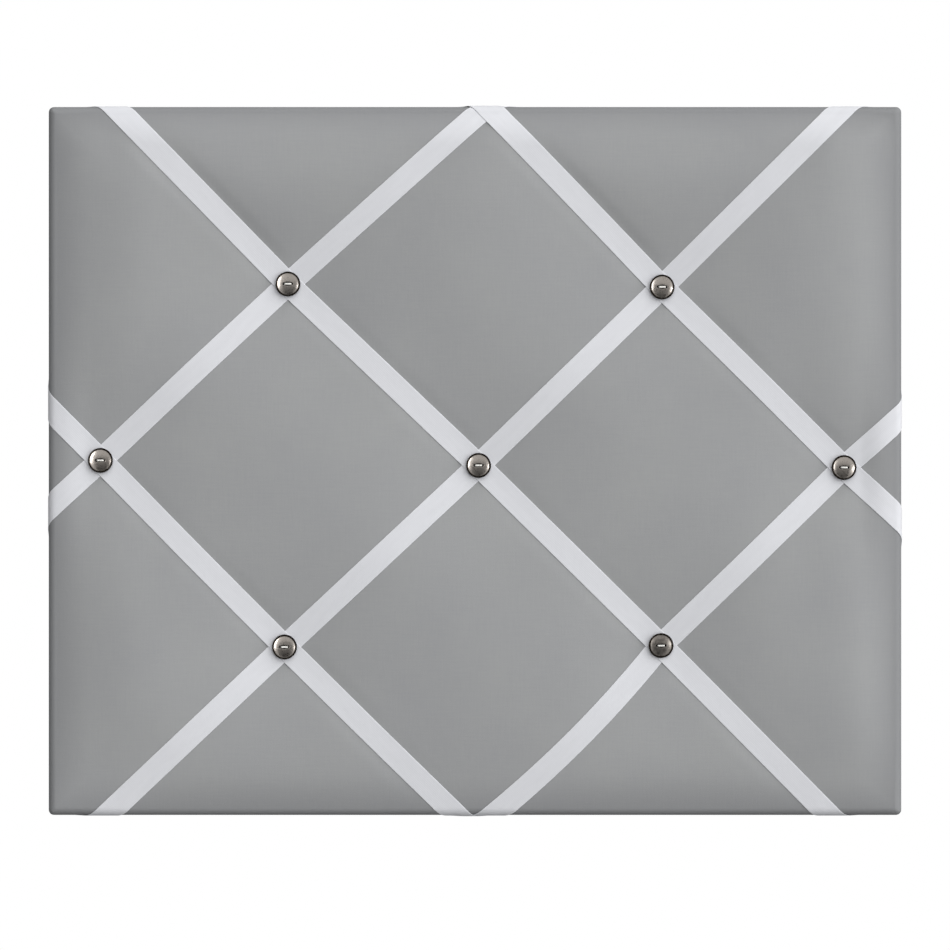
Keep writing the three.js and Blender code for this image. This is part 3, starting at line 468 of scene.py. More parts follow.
def button_material():
    """Antique nickel: worn bright on the dome, dark patina in the eye, and painted shade round the rim and
    over the leaning button.
    """
    material, tree = new_material("antique_nickel", Metallic=1.0)
    # The attribute holds patina in the eye and its holes, and painted shade round the rim and over the
    # leaning button
    patina_and_shade = add(tree, "Attribute", attribute_name="patina_and_shade").outputs["Fac"]
    stains = speckle(tree, 900, 4.0)
    pits = speckle(tree, 2600, 3.0)
    wear = span(tree, stains, 0.3, 0.7, -0.16, 0.16)
    share = maths(tree, "ADD", maths(tree, "SUBTRACT", 1.0, patina_and_shade), wear)
    share = add(tree, "Clamp", {0: share}).outputs[0]
    rough = span(tree, stains, 0.3, 0.7, 0.24, 0.36)
    rough = maths(tree, "MULTIPLY_ADD", patina_and_shade, 0.2, rough)
    return finished(material, tone(tree, share, *TONES["nickel"]), rough, pits, 0.25, 0.0001)


def thread_material():
    """Off-white twisted thread."""
    material, tree = new_material("pale_thread", Sheen_Weight=0.2)
    fibres = speckle(tree, 3500, 3.0)
    colour = tone(tree, fibres, *TONES["thread"])
    return finished(material, colour, span(tree, fibres, 0.3, 0.7, 0.6, 0.8), fibres, 0.4, 0.0001)


def steel_material():
    """Zinc-plated steel with a soft mottled sheen and small scratches."""
    material, tree = new_material("zinc_steel", Metallic=1.0)
    mottle = speckle(tree, 420, 3.0)
    scratches = speckle(tree, 1.0, 2.0, (5200, 700, 700))
    colour = tone(tree, mottle, *TONES["steel"])
    rough = span(tree, mottle, 0.3, 0.7, 0.26, 0.42)
    rough = maths(tree, "MULTIPLY_ADD", scratches, 0.1, rough)
    return finished(material, colour, rough, scratches, 0.12, 0.0001)


def card_material():
    """Dark pressed card with pale fibres and a faint waviness."""
    material, tree = new_material("dark_card", Specular_IOR_Level=0.25)
    fibres = speckle(tree, 1.0, 3.0, (900, 200, 240))
    flecks = span(tree, speckle(tree, 700, 2.0), 0.66, 0.74)
    clouds = speckle(tree, 22, 3.0)
    share = maths(tree, "MULTIPLY_ADD", fibres, 0.35, maths(tree, "MULTIPLY", clouds, 0.45))
    share = maths(tree, "MULTIPLY_ADD", flecks, 0.3, share)
    colour = tone(tree, share, *TONES["card"])
    return finished(material, colour, span(tree, clouds, 0.3, 0.7, 0.72, 0.86), fibres, 0.25, 0.0002)


def board_material():
    """Brown fibreboard."""
    material, tree = new_material("fibreboard", Roughness=0.85)
    fibres = speckle(tree, 1.0, 4.0, (260, 1200, 260))
    return finished(material, tone(tree, fibres, *TONES["fibreboard"]), None, fibres, 0.3)


def wadding_material():
    """White fibre wadding."""
    material, tree = new_material("white_wadding", Sheen_Weight=0.3)
    fibres = speckle(tree, 350, 5.0)
    colour = tone(tree, fibres, *TONES["wadding"])
    return finished(material, colour, span(tree, fibres, 0.3, 0.7, 0.85, 0.98), fibres, 0.6, 0.0006)


# Places on the board

BUTTON_PLACES = {name: np.mean(node_box("button_" + name), axis=0)[[0, 2]] for name in BUTTONS}
BUTTON_SEAT = node_box("button_centre")[1][1]
TUFT_SEAT = BUTTON_SEAT + TUFT_STACK


def edge_rise(places):
    """Share of the padding's full height at places (x, z), from 0 where the edge starts to roll up to 1."""
    inset = np.clip((FLAT_HALF - np.abs(places)) / np.where(places < 0, *EDGE_SPANS), 0, 1)
    return np.prod(1 - (1 - inset) ** 2, axis=1)


def front_depth(places):
    """Depth of the cloth under the ribbons at places (x, z), which falls to the edges and the buttons."""
    depth = FRONT_DEPTH - EDGE_FALL * edge_rise(places)
    inside = smooth_step(0, EDGE_EASE, np.min(FLAT_HALF - np.abs(places), axis=1))
    for centre in BUTTON_PLACES.values():
        away = np.clip(np.linalg.norm(places - centre, axis=1) - TUFT_FLAT, 0, None)
        away = np.hypot(away, TUFT_EASE) - TUFT_EASE
        drawn = inside * np.clip(1 - away / TUFT_REACH, 0, 1) ** TUFT_POWER
        depth = TUFT_SEAT + (depth - TUFT_SEAT) * (1 - drawn)
    return depth


def edge_section():
    """Section of the edge as points (outward, depth): roll, side, small roll to the back and hem."""
    turn = np.linspace(0, math.pi / 2, 160)
    out = EDGE_ROLL * np.sin(turn) ** (2 / EDGE_POWER)
    roll = FRONT_DEPTH + EDGE_SLOPE * out + EDGE_DROP * (1 - np.cos(turn) ** (2 / EDGE_POWER))
    side = np.linspace(OUTLINE_DEPTH, HEM_DEPTH - BACK_ROLL, 20)[1:]
    back = np.linspace(0, math.pi / 2, 20)[1:]
    back_out = EDGE_ROLL - BACK_ROLL * (1 - np.cos(back))
    back_depth = HEM_DEPTH - BACK_ROLL * (1 - np.sin(back))
    hem = back_out[-1] - np.linspace(0, 2 * HEM_WIDTH, 60)[1:]
    outs = [out, np.full(len(side), EDGE_ROLL), back_out, hem]
    depths = [roll, side, back_depth, np.full(len(hem), HEM_DEPTH)]
    ends = np.cumsum([len(part) for part in outs]) - 1
    return np.stack([np.concatenate(outs), np.concatenate(depths)], axis=1), ends


def run_lengths(points):
    return np.concatenate([[0], np.cumsum(np.linalg.norm(np.diff(points, axis=0), axis=1))])


EDGE_POINTS, EDGE_ENDS = edge_section()
EDGE_RUNS = run_lengths(EDGE_POINTS)
ROLL_END, SIDE_END, BACK_START = EDGE_RUNS[EDGE_ENDS[:3]]
EDGE_VALUES = np.hstack([EDGE_POINTS, np.gradient(EDGE_POINTS, EDGE_RUNS, axis=0)])


def edge_profile(run):
    """Outward distance, depth and normal (outward, depth) at developed runs past the start of the roll."""
    out, depth, ahead_out, ahead_depth = (np.interp(run, EDGE_RUNS, values) for values in EDGE_VALUES.T)
    size = np.hypot(ahead_out, ahead_depth)
    return out, depth, ahead_depth / size, -ahead_out / size


# Ribbons

def edge_point(edge, along):
    side = np.array(EDGES[edge])
    return side * HALF + along * np.abs(side[::-1])


def tail_point(edge, aim, ahead):
    """End of a ribbon's tail on the back, in the plane that the edge unrolls to."""
    side = np.array(EDGES[edge])
    other = np.abs(side[::-1])
    slope = float(np.abs(ahead @ other) / np.abs(ahead @ side))
    wide = RIBBON_WIDTH / 2 * math.hypot(1, slope)
    room = (HALF @ other - CORNER_TRIM - np.abs(aim @ other) - wide) / slope
    past = min(BACK_START - EDGE_ROLL + TAIL_LENGTH, room)
    return aim + ahead * past / np.abs(ahead @ side)


def sampled(start, end, bow=0.0):
    """Points from start up to end at about the ribbon's sample step, without the end, straight or bowed."""
    chord = end - start
    count = max(2, round(np.linalg.norm(chord) / RIBBON_SAMPLE))
    share = np.linspace(0, 1, count, endpoint=False)[:, None]
    return start + chord * share - 4 * bow * share * (1 - share) * turned(unit(chord))


def centreline(name):
    """A ribbon's middle line, unrolled into the plane of the front: points (x, z) from tail to tail."""
    first_edge, first_along, buttons, last_edge, last_along = ROUTES[name]
    stops = [edge_point(first_edge, first_along)]
    stops += [BUTTON_PLACES[button] for button in buttons]
    stops.append(edge_point(last_edge, last_along))
    runs = [sampled(a, b) for a, b in zip(stops[:-1], stops[1:])]
    if name == BOWED:
        runs[0] = sampled(stops[0], stops[1], RIBBON_BOW)
    first_tail = tail_point(first_edge, stops[0], unit(runs[0][0] - runs[0][1]))
    last_tail = tail_point(last_edge, stops[-1], unit(stops[-1] - stops[-2]))
    return np.concatenate([sampled(first_tail, stops[0]), *runs, sampled(stops[-1], last_tail), [last_tail]])


CENTRELINES = {name: centreline(name) for name in ROUTES}


def crossings(over, under):
    """Places along one line, as lengths, where it crosses another, and the half length of each crossing."""
    step_over, step_under = np.diff(over, axis=0), np.diff(under, axis=0)
    lengths = run_lengths(over)
    found = []
    for index, (start, step) in enumerate(zip(over[:-1], step_over)):
        apart = under[:-1] - start
        turn = cross(step, step_under)
        turn = np.where(np.abs(turn) < 1e-9, 1e-9, turn)
        share, other = cross(apart, step_under) / turn, cross(apart, step) / turn
        for hit in np.nonzero((share >= 0) & (share < 1) & (other >= 0) & (other < 1))[0]:
            cosine = abs(unit(step) @ unit(step_under[hit]))
            half = RIBBON_WIDTH / 2 * math.sqrt((1 + cosine) / (1 - cosine)) + CROSSING_EASE
            found.append((lengths[index] + share[hit] * np.linalg.norm(step), half))
    return found


def ribbon_lift(name, lengths):
    """Height of a ribbon's underside over the cloth: falling ribbons step over rising ones."""
    lift = np.full(len(lengths), RIBBON_LIFT)
    if name.startswith("fall"):
        for rising in (other for other in ROUTES if other.startswith("rise")):
            for place, half in crossings(CENTRELINES[name], CENTRELINES[rising]):
                away = np.abs(lengths - place)
                step = RIBBON_STEP * (1 - smooth_step(half, half + RIBBON_RAMP, away))
                lift = np.maximum(lift, RIBBON_LIFT + step)
    return lift


def ribbon_section():
    """Ring of (across, height) points: rounded selvedges that stand a little over the woven middle."""
    half, top = RIBBON_WIDTH / 2, RIBBON_THICK
    bead = top + SELVEDGE_RISE
    right = [(half, 0.6 * top), (half - 0.06, 0.9 * top), (half - 0.16, bead), (half - 0.7, bead)]
    left = [(-across, height) for across, height in reversed(right)]
    inner = half - SELVEDGE_WIDTH - 0.3
    middle = [(across, top) for across in np.linspace(inner, -inner, RIBBON_COLUMNS)]
    foot = half - 0.4
    under = [(across, 0) for across in np.linspace(-foot, foot, RIBBON_COLUMNS)]
    under = [(-half + 0.15, 0.1 * top), *under, (half - 0.15, 0.1 * top)]
    return np.array(right + middle + left + under)


def on_board(places, lifts, edges):
    """Points of the model at unrolled places (x, z), lifted off the cloth and rolled round the two edges."""
    points = at_depth(places, front_depth(places) - lifts)
    for edge in edges:
        side = np.array(EDGES[edge])
        run = places @ side - FLAT_HALF @ np.abs(side)
        rolled = run > 0
        out, depth, normal_out, normal_depth = edge_profile(run[rolled])
        reach = FLAT_HALF @ np.abs(side) + out + normal_out * lifts[rolled]
        flat = side * reach[:, None] + places[rolled] * np.abs(side[::-1])
        points[rolled] = at_depth(flat, depth + normal_depth * lifts[rolled])
    return points


def add_ribbon(name, material):
    """One woven ribbon from its tail on the back, over the front, to its other tail."""
    line = CENTRELINES[name]
    lengths = run_lengths(line)
    section = ribbon_section()
    off = turned(unit(np.gradient(line, lengths, axis=0)))
    places = line[:, None, :] + off[:, None, :] * section[None, :, :1]
    lifts = ribbon_lift(name, lengths)[:, None] + section[None, :, 1]
    edges = (ROUTES[name][0], ROUTES[name][3])
    points = on_board(places.reshape(-1, 2), lifts.ravel(), edges)
    points, faces = capped_sweep(points.reshape(len(line), len(section), 3))
    flat = np.stack(np.broadcast_arrays(lengths[:, None], section[None, :, 0]), axis=-1).reshape(-1, 2)
    piece = make_mesh("woven_ribbon_" + name, points, faces, flat)
    settle(piece, material, nodes=["ribbon_" + name])


# Cloth cover and wadding

def grid_lines(half):
    """Coordinates of the cloth's mesh lines from edge to edge of its flat front."""
    border = half - np.concatenate([[0], np.cumsum(BORDER_STEPS)])
    inner = border[-1]
    middle = np.linspace(-inner, inner, round(2 * inner / GRID_STEP) + 1)
    return np.concatenate([-border[:-1], middle, border[:-1][::-1]])


def perimeter(columns, rows):
    """Indices of the border of a grid, counter-clockwise from its lowest corner."""
    grid = np.arange(columns * rows).reshape(rows, columns)
    return np.concatenate([grid[0], grid[1:, -1], grid[-1, -2::-1], grid[-2:0:-1, 0]])


def spread_ring(border, out, radius):
    """Border points of the flat front moved out to a rectangle with round corners."""
    ring = np.empty_like(border)
    corner = FLAT_HALF + out - radius
    arc = math.pi / 4 * radius
    for index, place in enumerate(border):
        along = int(abs(abs(place[0]) - FLAT_HALF[0]) < 1e-6)
        across = 1 - along
        room = FLAT_HALF[along] - abs(place[along])
        reach = room * (arc + out - radius + CORNER_REACH) / CORNER_REACH
        if room >= CORNER_REACH:
            spot = abs(place[along]), corner[across] + radius
        elif reach < arc:
            turn = math.pi / 4 + reach / radius
            spot = corner[along] + radius * math.cos(turn), corner[across] + radius * math.sin(turn)
        else:
            spot = corner[along] - reach + arc, corner[across] + radius
        ring[index, along] = math.copysign(spot[0], place[along])
        ring[index, across] = math.copysign(spot[1], place[across])
    return ring


def add_ring_round(points, faces, inner, ring, depth):
    """Adds a ring of places at a depth round the ring inside it. Gives all points and the new ring."""
    outer = np.arange(len(inner)) + len(points)
    points = np.vstack([points, at_depth(ring, depth)])
    corners = np.stack([inner, outer, np.roll(outer, -1), np.roll(inner, -1)], axis=1)
    faces += [tuple(face) for face in corners.tolist()]
    return points, outer


def ring_runs():
    """Developed runs of the rings that carry the cloth round the edge to the end of its hem."""
    stops = (0, ROLL_END, SIDE_END, BACK_START, BACK_START + HEM_WIDTH - BACK_ROLL)
    counts = (ROLL_RINGS, SIDE_RINGS, BACK_RINGS, HEM_RINGS)
    return np.concatenate([np.linspace(a, b, n + 1)[1:] for a, b, n in zip(stops, stops[1:], counts)])


def cover_base():
    """Points, faces and unrolled places of the cloth as it lies before the padding fills it."""
    lines_x, lines_z = map(grid_lines, FLAT_HALF)
    columns, rows = len(lines_x), len(lines_z)
    places = np.stack(np.meshgrid(lines_x, lines_z), axis=-1).reshape(-1, 2)
    points = at_depth(places, front_depth(places))
    faces = quads_between(rows, columns, closed=False)
    border = perimeter(columns, rows)
    inner = border
    for run in ring_runs():
        out, depth, _, _ = edge_profile(run)
        radius = max(SHARP_CORNER, CORNER_RADIUS - (EDGE_ROLL - out))
        ring = spread_ring(places[border], float(out), radius)
        points, inner = add_ring_round(points, faces, inner, ring, depth)
    flat = [places] + [spread_ring(places[border], run, SHARP_CORNER) for run in ring_runs()]
    return points, faces, np.concatenate(flat), (columns, rows)


def ribbon_distance(places):
    """Distance of unrolled places from the nearest ribbon's middle line."""
    nearest = np.full(len(places), 1e3)
    for line in CENTRELINES.values():
        ends = np.concatenate([line[RIBBON_STRIDE::RIBBON_STRIDE], line[-1:]])
        for start, end in zip(line[:-1:RIBBON_STRIDE], ends):
            step = end - start
            share = np.clip((places - start) @ step / max(step @ step, 1e-9), 0, 1)
            nearest = np.minimum(nearest, np.linalg.norm(places - start - share[:, None] * step, axis=1))
    return nearest


def held_share(points, flat):
    """How firmly the ribbons and the board hold each point of the cloth, from 0 to 1."""
    half = RIBBON_WIDTH / 2
    under_ribbon = 1 - smooth_step(*RIBBON_HOLD, ribbon_distance(flat) - half)
    on_side = smooth_step(*SIDE_HOLD, points[:, 1] - OUTLINE_DEPTH)
    return np.maximum(under_ribbon, on_side)


def filled(cover, held):
    """Points of the cloth, in millimetres, after a simulation in which the padding presses it out."""
    group = cover.vertex_groups.new(name="held")
    for index, weight in enumerate(held):
        group.add([index], float(weight), "REPLACE")
    cloth = cover.modifiers.new("padding", "CLOTH")
    cloth.settings.vertex_group_mass = "held"
    cloth.settings.pin_stiffness = 30
    cloth.settings.use_pressure = True
    cloth.settings.uniform_pressure_force = PRESSURE
    cloth.settings.effector_weights.gravity = 0
    cloth.settings.tension_stiffness = 5
    cloth.settings.compression_stiffness = 5
    cloth.settings.bending_stiffness = 10
    cloth.collision_settings.use_collision = False
    scene = bpy.context.scene
    for step in range(1, CLOTH_FRAMES + 1):
        scene.frame_set(step)
    shown = cover.evaluated_get(bpy.context.evaluated_depsgraph_get())
    result = np.empty(3 * len(held), dtype=np.float32)
    shown.data.vertices.foreach_get("co", result)
    cover.modifiers.remove(cloth)
    cover.vertex_groups.remove(group)
    scene.frame_set(1)
    return result.reshape(-1, 3).astype(float) / MM


def calmed(swell, size):
    """How far the cloth swells out, without the small ripples that the simulation leaves in its front."""
    columns, rows = size
    change = swell[:, 1].copy()
    front = change[:columns * rows].reshape(rows, columns)
    for _ in range(CALM_ROUNDS):
        front[1:-1] = (front[:-2] + 2 * front[1:-1] + front[2:]) / 4
        front[:, 1:-1] = (front[:, :-2] + 2 * front[:, 1:-1] + front[:, 2:]) / 4
    return change


def unevenness(places):
    """Soft lumps of the wadding at unrolled places, from about -1 to 1."""
    spots = [noise.noise(Vector((x / UNEVEN_SPAN, z / UNEVEN_SPAN, 0.37))) for x, z in places]
    return np.array(spots)


def add_cover(material):
    """The cloth, filled out by the padding between the ribbons and turned over the board's edges."""
    points, faces, flat, size = cover_base()
    cover = make_mesh("cloth_cover", points, faces, flat)
    held = held_share(points, flat)
    half = RIBBON_WIDTH / 2
    free = smooth_step(half - PILLOW_TUCK, half + PILLOW_EASE, ribbon_distance(flat))
    swell = calmed(points - filled(cover, held), size) * free
    ratio = np.clip(swell / (swell * edge_rise(flat)).max(), 0, None)
    # Share of the crown: softly limited to 1, evened out and blended with a tent
    share = (ratio / (1 + ratio ** 4) ** 0.25) ** PILLOW_EVEN
    share += PILLOW_TENT * (1 - np.sqrt(1 - share) - share)
    points[:, 1] -= edge_rise(flat) * (PILLOW_CROWN * share + UNEVEN_HEIGHT * unevenness(flat) * free)
    cover.data.vertices.foreach_set("co", (points * MM).ravel())
    cover.data.update()
    thick = cover.modifiers.new("thickness", "SOLIDIFY")
    thick.thickness = CLOTH_THICK * MM
    thick.offset = -1
    settle(cover, material, nodes=["fabric_cover"])
    return points, size


def add_wadding(cover_points, size, material):
    """Wadding between the board and the cloth, with the cloth's pillows and tufts."""
    columns, rows = size
    keep_x, keep_z = (sorted({*range(0, count, PAD_STRIDE), count - 1}) for count in size)
    grid = cover_points[:columns * rows].reshape(rows, columns, 3)[np.ix_(keep_z, keep_x)]
    front = grid.reshape(-1, 3) + np.array([0, PAD_GAP, 0])
    count_x, count_z = len(keep_x), len(keep_z)
    border = perimeter(count_x, count_z)
    faces = quads_between(count_z, count_x, closed=False)
    points, inner = front, border
    for run in np.linspace(0, ROLL_END, 5)[1:]:
        out, depth, normal_out, normal_depth = edge_profile(run)
        depth -= PAD_GAP * normal_depth
        ring = spread_ring(front[border][:, [0, 2]], out - PAD_GAP * normal_out, SHARP_CORNER)
        points, inner = add_ring_round(points, faces, inner, ring, depth)
    points[inner, 1] = PAD_BACK
    faces.append(tuple(inner[::-1].tolist()))
    piece = make_mesh("fibre_wadding", points, faces)
    settle(piece, material, nodes=["wadding_pad"])


# Buttons and their thread

def button_profile():
    """(radius, height) points from the foot's middle to the top's: rolled rim, groove and low dome."""
    foot = [(0, 0), (3.0, 0), (FOOT_RADIUS, 0)]
    turns = np.linspace(0, math.pi / 2, 7)[1:]
    foot += [(FOOT_RADIUS + 1.6 * math.sin(turn), 1.4 * (1 - math.cos(turn))) for turn in turns]
    rim = [(6.98, 1.75), (6.88, 2.05), (6.7, 2.3), (6.5, 2.42), (6.32, 2.4), (RIM_RADIUS, 2.3)]
    rise = BUTTON_HEIGHT - DOME_BASE
    dome = []
    for radius in np.concatenate([np.linspace(RIM_RADIUS - 0.12, 4.0, 10), np.linspace(3.8, 0.15, 26)]):
        dome.append((radius, DOME_BASE + rise * (1 - (radius / RIM_RADIUS) ** 2.2) ** 0.8))
    return foot + rim + dome + [(0, BUTTON_HEIGHT)]


def eye_share(across, up):
    """1 in the long fish-eye recess of a button, 0 outside it."""
    length = np.clip(1 - (across / EYE_HALF_LENGTH) ** 2, 0.02, 1)
    inside = 1 - smooth_step(EYE_HALF_LENGTH - 0.4, EYE_HALF_LENGTH, np.abs(across))
    return inside * (1 - smooth_step(0.62, 1.1, np.abs(up) / (EYE_HALF_WIDTH * length)))


def hole_share(across, up):
    """1 in the two holes of a button, 0 outside them."""
    away = np.hypot(np.abs(across) - HOLE_PLACE, up)
    return 1 - smooth_step(HOLE_RADIUS - 0.15, HOLE_RADIUS + 0.1, away)


def carve_button(across, up, height):
    """Depth of the eye and its holes at a place on the dome."""
    if height < DOME_BASE - 0.03:
        return np.zeros_like(across)
    return EYE_DEPTH * eye_share(across, up) + HOLE_DEPTH * hole_share(across, up)


def button_patina_and_shade(points):
    """Where the metal is dark: painted shade under and round the rim and in its groove, in place of the dark
    reflection of the button's side, and patina in the eye and its holes.
    """
    across, up = points[:, :2].T
    away = np.hypot(across, up)
    # Painted shade: the rim, its groove and its side are darkened in place of their dark reflection
    rim = smooth_step(RIM_RADIUS - 0.5, RIM_RADIUS - 0.05, away)
    return np.clip(rim + 0.85 * eye_share(across, up) + hole_share(across, up), 0, 1)


def add_button(name, material):
    """One domed metal button, with its foot on the ribbons."""
    points, faces = lathe(button_profile(), BUTTON_SIDES, carve_button)
    # Painted shade darkens the leaning button all over, in place of the darker reflection that its lean
    # gives
    patina_and_shade = np.clip(button_patina_and_shade(points) + BUTTON_PAINTED_SHADE.get(name, 0), 0, 1)
    tilt_up, tilt_side = BUTTON_TILT.get(name, (0, 0))
    height = points[:, 2] + tilt_up * points[:, 1] + tilt_side * points[:, 0]
    placed = at_depth(BUTTON_PLACES[name] + points[:, :2], BUTTON_SEAT - height)
    piece = make_mesh("metal_button_" + name, placed, faces)
    piece.data.attributes.new("patina_and_shade", "FLOAT", "POINT").data.foreach_set("value", patina_and_shade)
    settle(piece, material, nodes=["button_" + name])


def thread_loop(low, high):
    """Flat loop (x, y) of the thread, with close steps over the button and wide ones through the board."""
    front, back = low[1] + STRAND_RADIUS, high[1] - STRAND_RADIUS
    bend, inner = STRAND_BEND, STRAND_PLACE - STRAND_BEND
    turns = np.linspace(0, math.pi / 2, 7)
    over = [(x, front) for x in np.linspace(-inner, inner, 22)[1:-1]]
    down = [(inner + bend * math.sin(t), front + bend * (1 - math.cos(t))) for t in turns]
    down += [(STRAND_PLACE, y) for y in np.linspace(front + 2 * bend, back - bend, 9)]
    down += [(inner + bend * math.cos(t), back - bend + bend * math.sin(t)) for t in turns[1:]]
    return np.array(over + down + [(-x, y) for x, y in reversed(down)])


def add_thread(name, material):
    """Two twisted strands that tie one button through the board."""
    low, high = node_box("tie_" + name)
    flat = thread_loop(low, high)
    centre = (low + high) / 2
    steps = np.linalg.norm(np.roll(flat, -1, axis=0) - flat, axis=1)
    twist = 2 * math.pi * np.cumsum(steps)[:, None] / STRAND_TWIST

    def reach(angles):
        return STRAND_RADIUS * (1 + 0.14 * np.cos(2 * (angles[None, :] - twist)))

    strands = []
    for side in (-1, 1):
        place = centre[2] + side * STRAND_RADIUS * 0.95
        path = np.insert(flat + np.array([centre[0], 0]), 2, place, axis=1)
        strands.append(loop_sweep(path, (0, 0, 1), reach, 12))
    piece = make_mesh("stitch_" + name, *joined(strands))
    settle(piece, material, nodes=["tie_" + name])


# Back: staples and hangers

def staple_row(half_along, at, upright, spin):
    """Centres and directions of the staples along one edge of the back sheet."""
    count = round(2 * half_along / STAPLE_SPACING)
    for along in (np.arange(count) + 0.5) * 2 * half_along / count - half_along:
        lean = spin.uniform(-0.08, 0.08)
        aim = np.array([math.cos(lean), math.sin(lean)])
        spot = np.array([along + spin.uniform(-2.0, 2.0), at])
        yield (spot[::-1], aim[::-1]) if upright else (spot, aim)


def staple_solid(spot, aim):
    """Flat-topped wire crown of one staple, whose ends go down into the card."""
    half, wire, top = STAPLE_CROWN / 2, STAPLE_WIRE / 2, STAPLE_HEIGHT
    path = [(-half, -0.3), (-half, top - 0.3), (-half + 0.12, top - 0.08), (-half + 0.4, top)]
    path += [(-along, height) for along, height in reversed(path)]
    side = turned(aim)
    rows = []
    for along, height in path:
        low = max(height - STAPLE_WIRE, -0.35) if abs(along) < half else height
        inward = math.copysign(STAPLE_WIRE if abs(along) >= half - 0.2 else 0, -along)
        ring = []
        corners = (wire, low, inward), (wire, height, 0), (-wire, height, 0), (-wire, low, inward)
        for across, level, shift in corners:
            flat = spot + aim * (along + shift) + side * across
            ring.append((flat[0], level, flat[1]))
        rows.append(ring)
    return capped_sweep(np.array(rows))


def add_edge_staples(material):
    """Staples that hold the back sheet along its four edges."""
    spin = random.Random(7)
    half = node_box("back_sheet")[1][[0, 2]] - STAPLE_INSET
    places = []
    for sign in (-1, 1):
        places += staple_row(half[0], sign * half[1], False, spin)
        places += staple_row(half[1], sign * half[0], True, spin)
    piece = make_mesh("edge_staples", *joined(staple_solid(spot, aim) for spot, aim in places))
    piece.data.shade_flat()
    settle(piece, material)


def on_back(local, hanger):
    """Points of the model from a hanger's own (across, towards the edge, off the back)."""
    x, z, across, up = HANGERS[hanger]
    return np.array([x, 0, z]) + local @ np.array([across, up, (0, 1, 0)], float)


def ring_path(top):
    """Wire's middle line (across, up): straight bar, bent corners, sides and a round end."""
    turns = np.linspace(0, math.pi / 2, 9)
    arch = np.linspace(0, math.pi, 41)
    middle = top - RING_HALF
    corner = RING_HALF - RING_BEND
    path = [(x, 0) for x in np.linspace(-corner, corner, 14)[1:-1]]
    path += [(corner + RING_BEND * math.sin(t), RING_BEND * (1 - math.cos(t))) for t in turns]
    path += [(RING_HALF * math.cos(t), middle + RING_HALF * math.sin(t)) for t in arch]
    path += [(-corner - RING_BEND * math.cos(t), RING_BEND * (1 - math.sin(t))) for t in turns]
    return np.array(path)


def add_ring(hanger, material):
    """Bent wire ring of one hanger."""
    x, z, _, up = HANGERS[hanger]
    top = (node_box("hanger_ring_" + hanger)[1] - np.array([x, 0, z])) @ np.abs(up) - WIRE_RADIUS
    path = np.insert(ring_path(top), 2, BAR_HEIGHT, axis=1)
    points, faces = loop_sweep(path, (0, 0, 1), lambda angles: np.full((1, len(angles)), WIRE_RADIUS), 20)
    piece = make_mesh("wire_ring_" + hanger, on_back(points, hanger), faces)
    settle(piece, material, body=hanger + "_ring", nodes=["hanger_ring_" + hanger])


def strap_path():
    """Middle of the strap's metal (up, height): lower leaf, knuckle round the bar and upper leaf."""
    round_end = STRAP_WIDTH / 2
    tip = round_end * (1 - np.cos(np.linspace(0.12, math.pi / 2, 10)))
    leaf = [-STRAP_LENGTH + away for away in tip] + list(np.linspace(-STRAP_LENGTH + round_end, 0, 8)[1:])
    knuckle = BAR_HEIGHT - STRAP_LOW
    turns = np.linspace(-math.pi / 2, 3 * math.pi / 4, 22)[1:]
    path = [(up, STRAP_LOW) for up in leaf]
    path += [(knuckle * math.cos(t), BAR_HEIGHT + knuckle * math.sin(t)) for t in turns]
    foot = path[-1][0] - path[-1][1] + STRAP_HIGH
    bend = (0.35, 0.35), (0.12, 0.14), (-0.2, 0.02)
    path += [(foot + up, STRAP_HIGH + height) for up, height in bend]
    upper = [up for up in leaf if up < foot - 0.8]
    return np.array(path + [(up, STRAP_HIGH) for up in reversed(upper)])


def strap_half_width(up):
    """Half the strap's width at a distance from the bar, with a round end."""
    round_end = STRAP_WIDTH / 2
    short = np.clip(round_end - (up + STRAP_LENGTH), 0, round_end)
    return np.sqrt(round_end ** 2 - short ** 2)


def add_strap(hanger, material):
    """Folded metal strap of one hanger, with softened edges."""
    path = strap_path()
    off = turned(unit(np.gradient(path, axis=0)))
    half, bevel = STRAP_THICK / 2, 0.12
    section = [(1, half - bevel, 0), (1, half, bevel), (-1, half, bevel), (-1, half - bevel, 0)]
    section += [(-1, bevel - half, 0), (-1, -half, bevel), (1, -half, bevel), (1, bevel - half, 0)]
    side, level, inset = np.array(section).T
    width = strap_half_width(path[:, 0])[:, None]
    across = side * (width - np.minimum(inset, width / 2))
    places = path[:, None, :] + off[:, None, :] * level[:, None]
    points, faces = capped_sweep(np.concatenate([across[..., None], places], axis=-1))
    piece = make_mesh("folded_strap_" + hanger, on_back(points, hanger), faces)
    edges = piece.modifiers.new("crisp", "EDGE_SPLIT")
    edges.split_angle = math.radians(35)
    settle(piece, material, nodes=["hanger_strap_" + hanger])


def screw_profile():
    """(radius, height) points from the screw's tip to the middle of its head."""
    shank = [(0, -7.7), (0.4, -7.2), (1.1, -5.0), (SCREW_SHANK, -4.0), (SCREW_SHANK, -0.05), (1.6, 0)]
    head = [(SCREW_HEAD - 0.15, 0), (SCREW_HEAD, 0.12), (SCREW_HEAD, 0.45)]
    dome = []
    for radius in np.concatenate([np.linspace(SCREW_HEAD - 0.06, 1.9, 7), np.linspace(1.8, 0.08, 22)]):
        dome.append((radius, 0.5 + (SCREW_DOME - 0.5) * math.sqrt(max(0, 1 - (radius / SCREW_HEAD) ** 2.2))))
    return shank + head + dome + [(0, SCREW_DOME)]


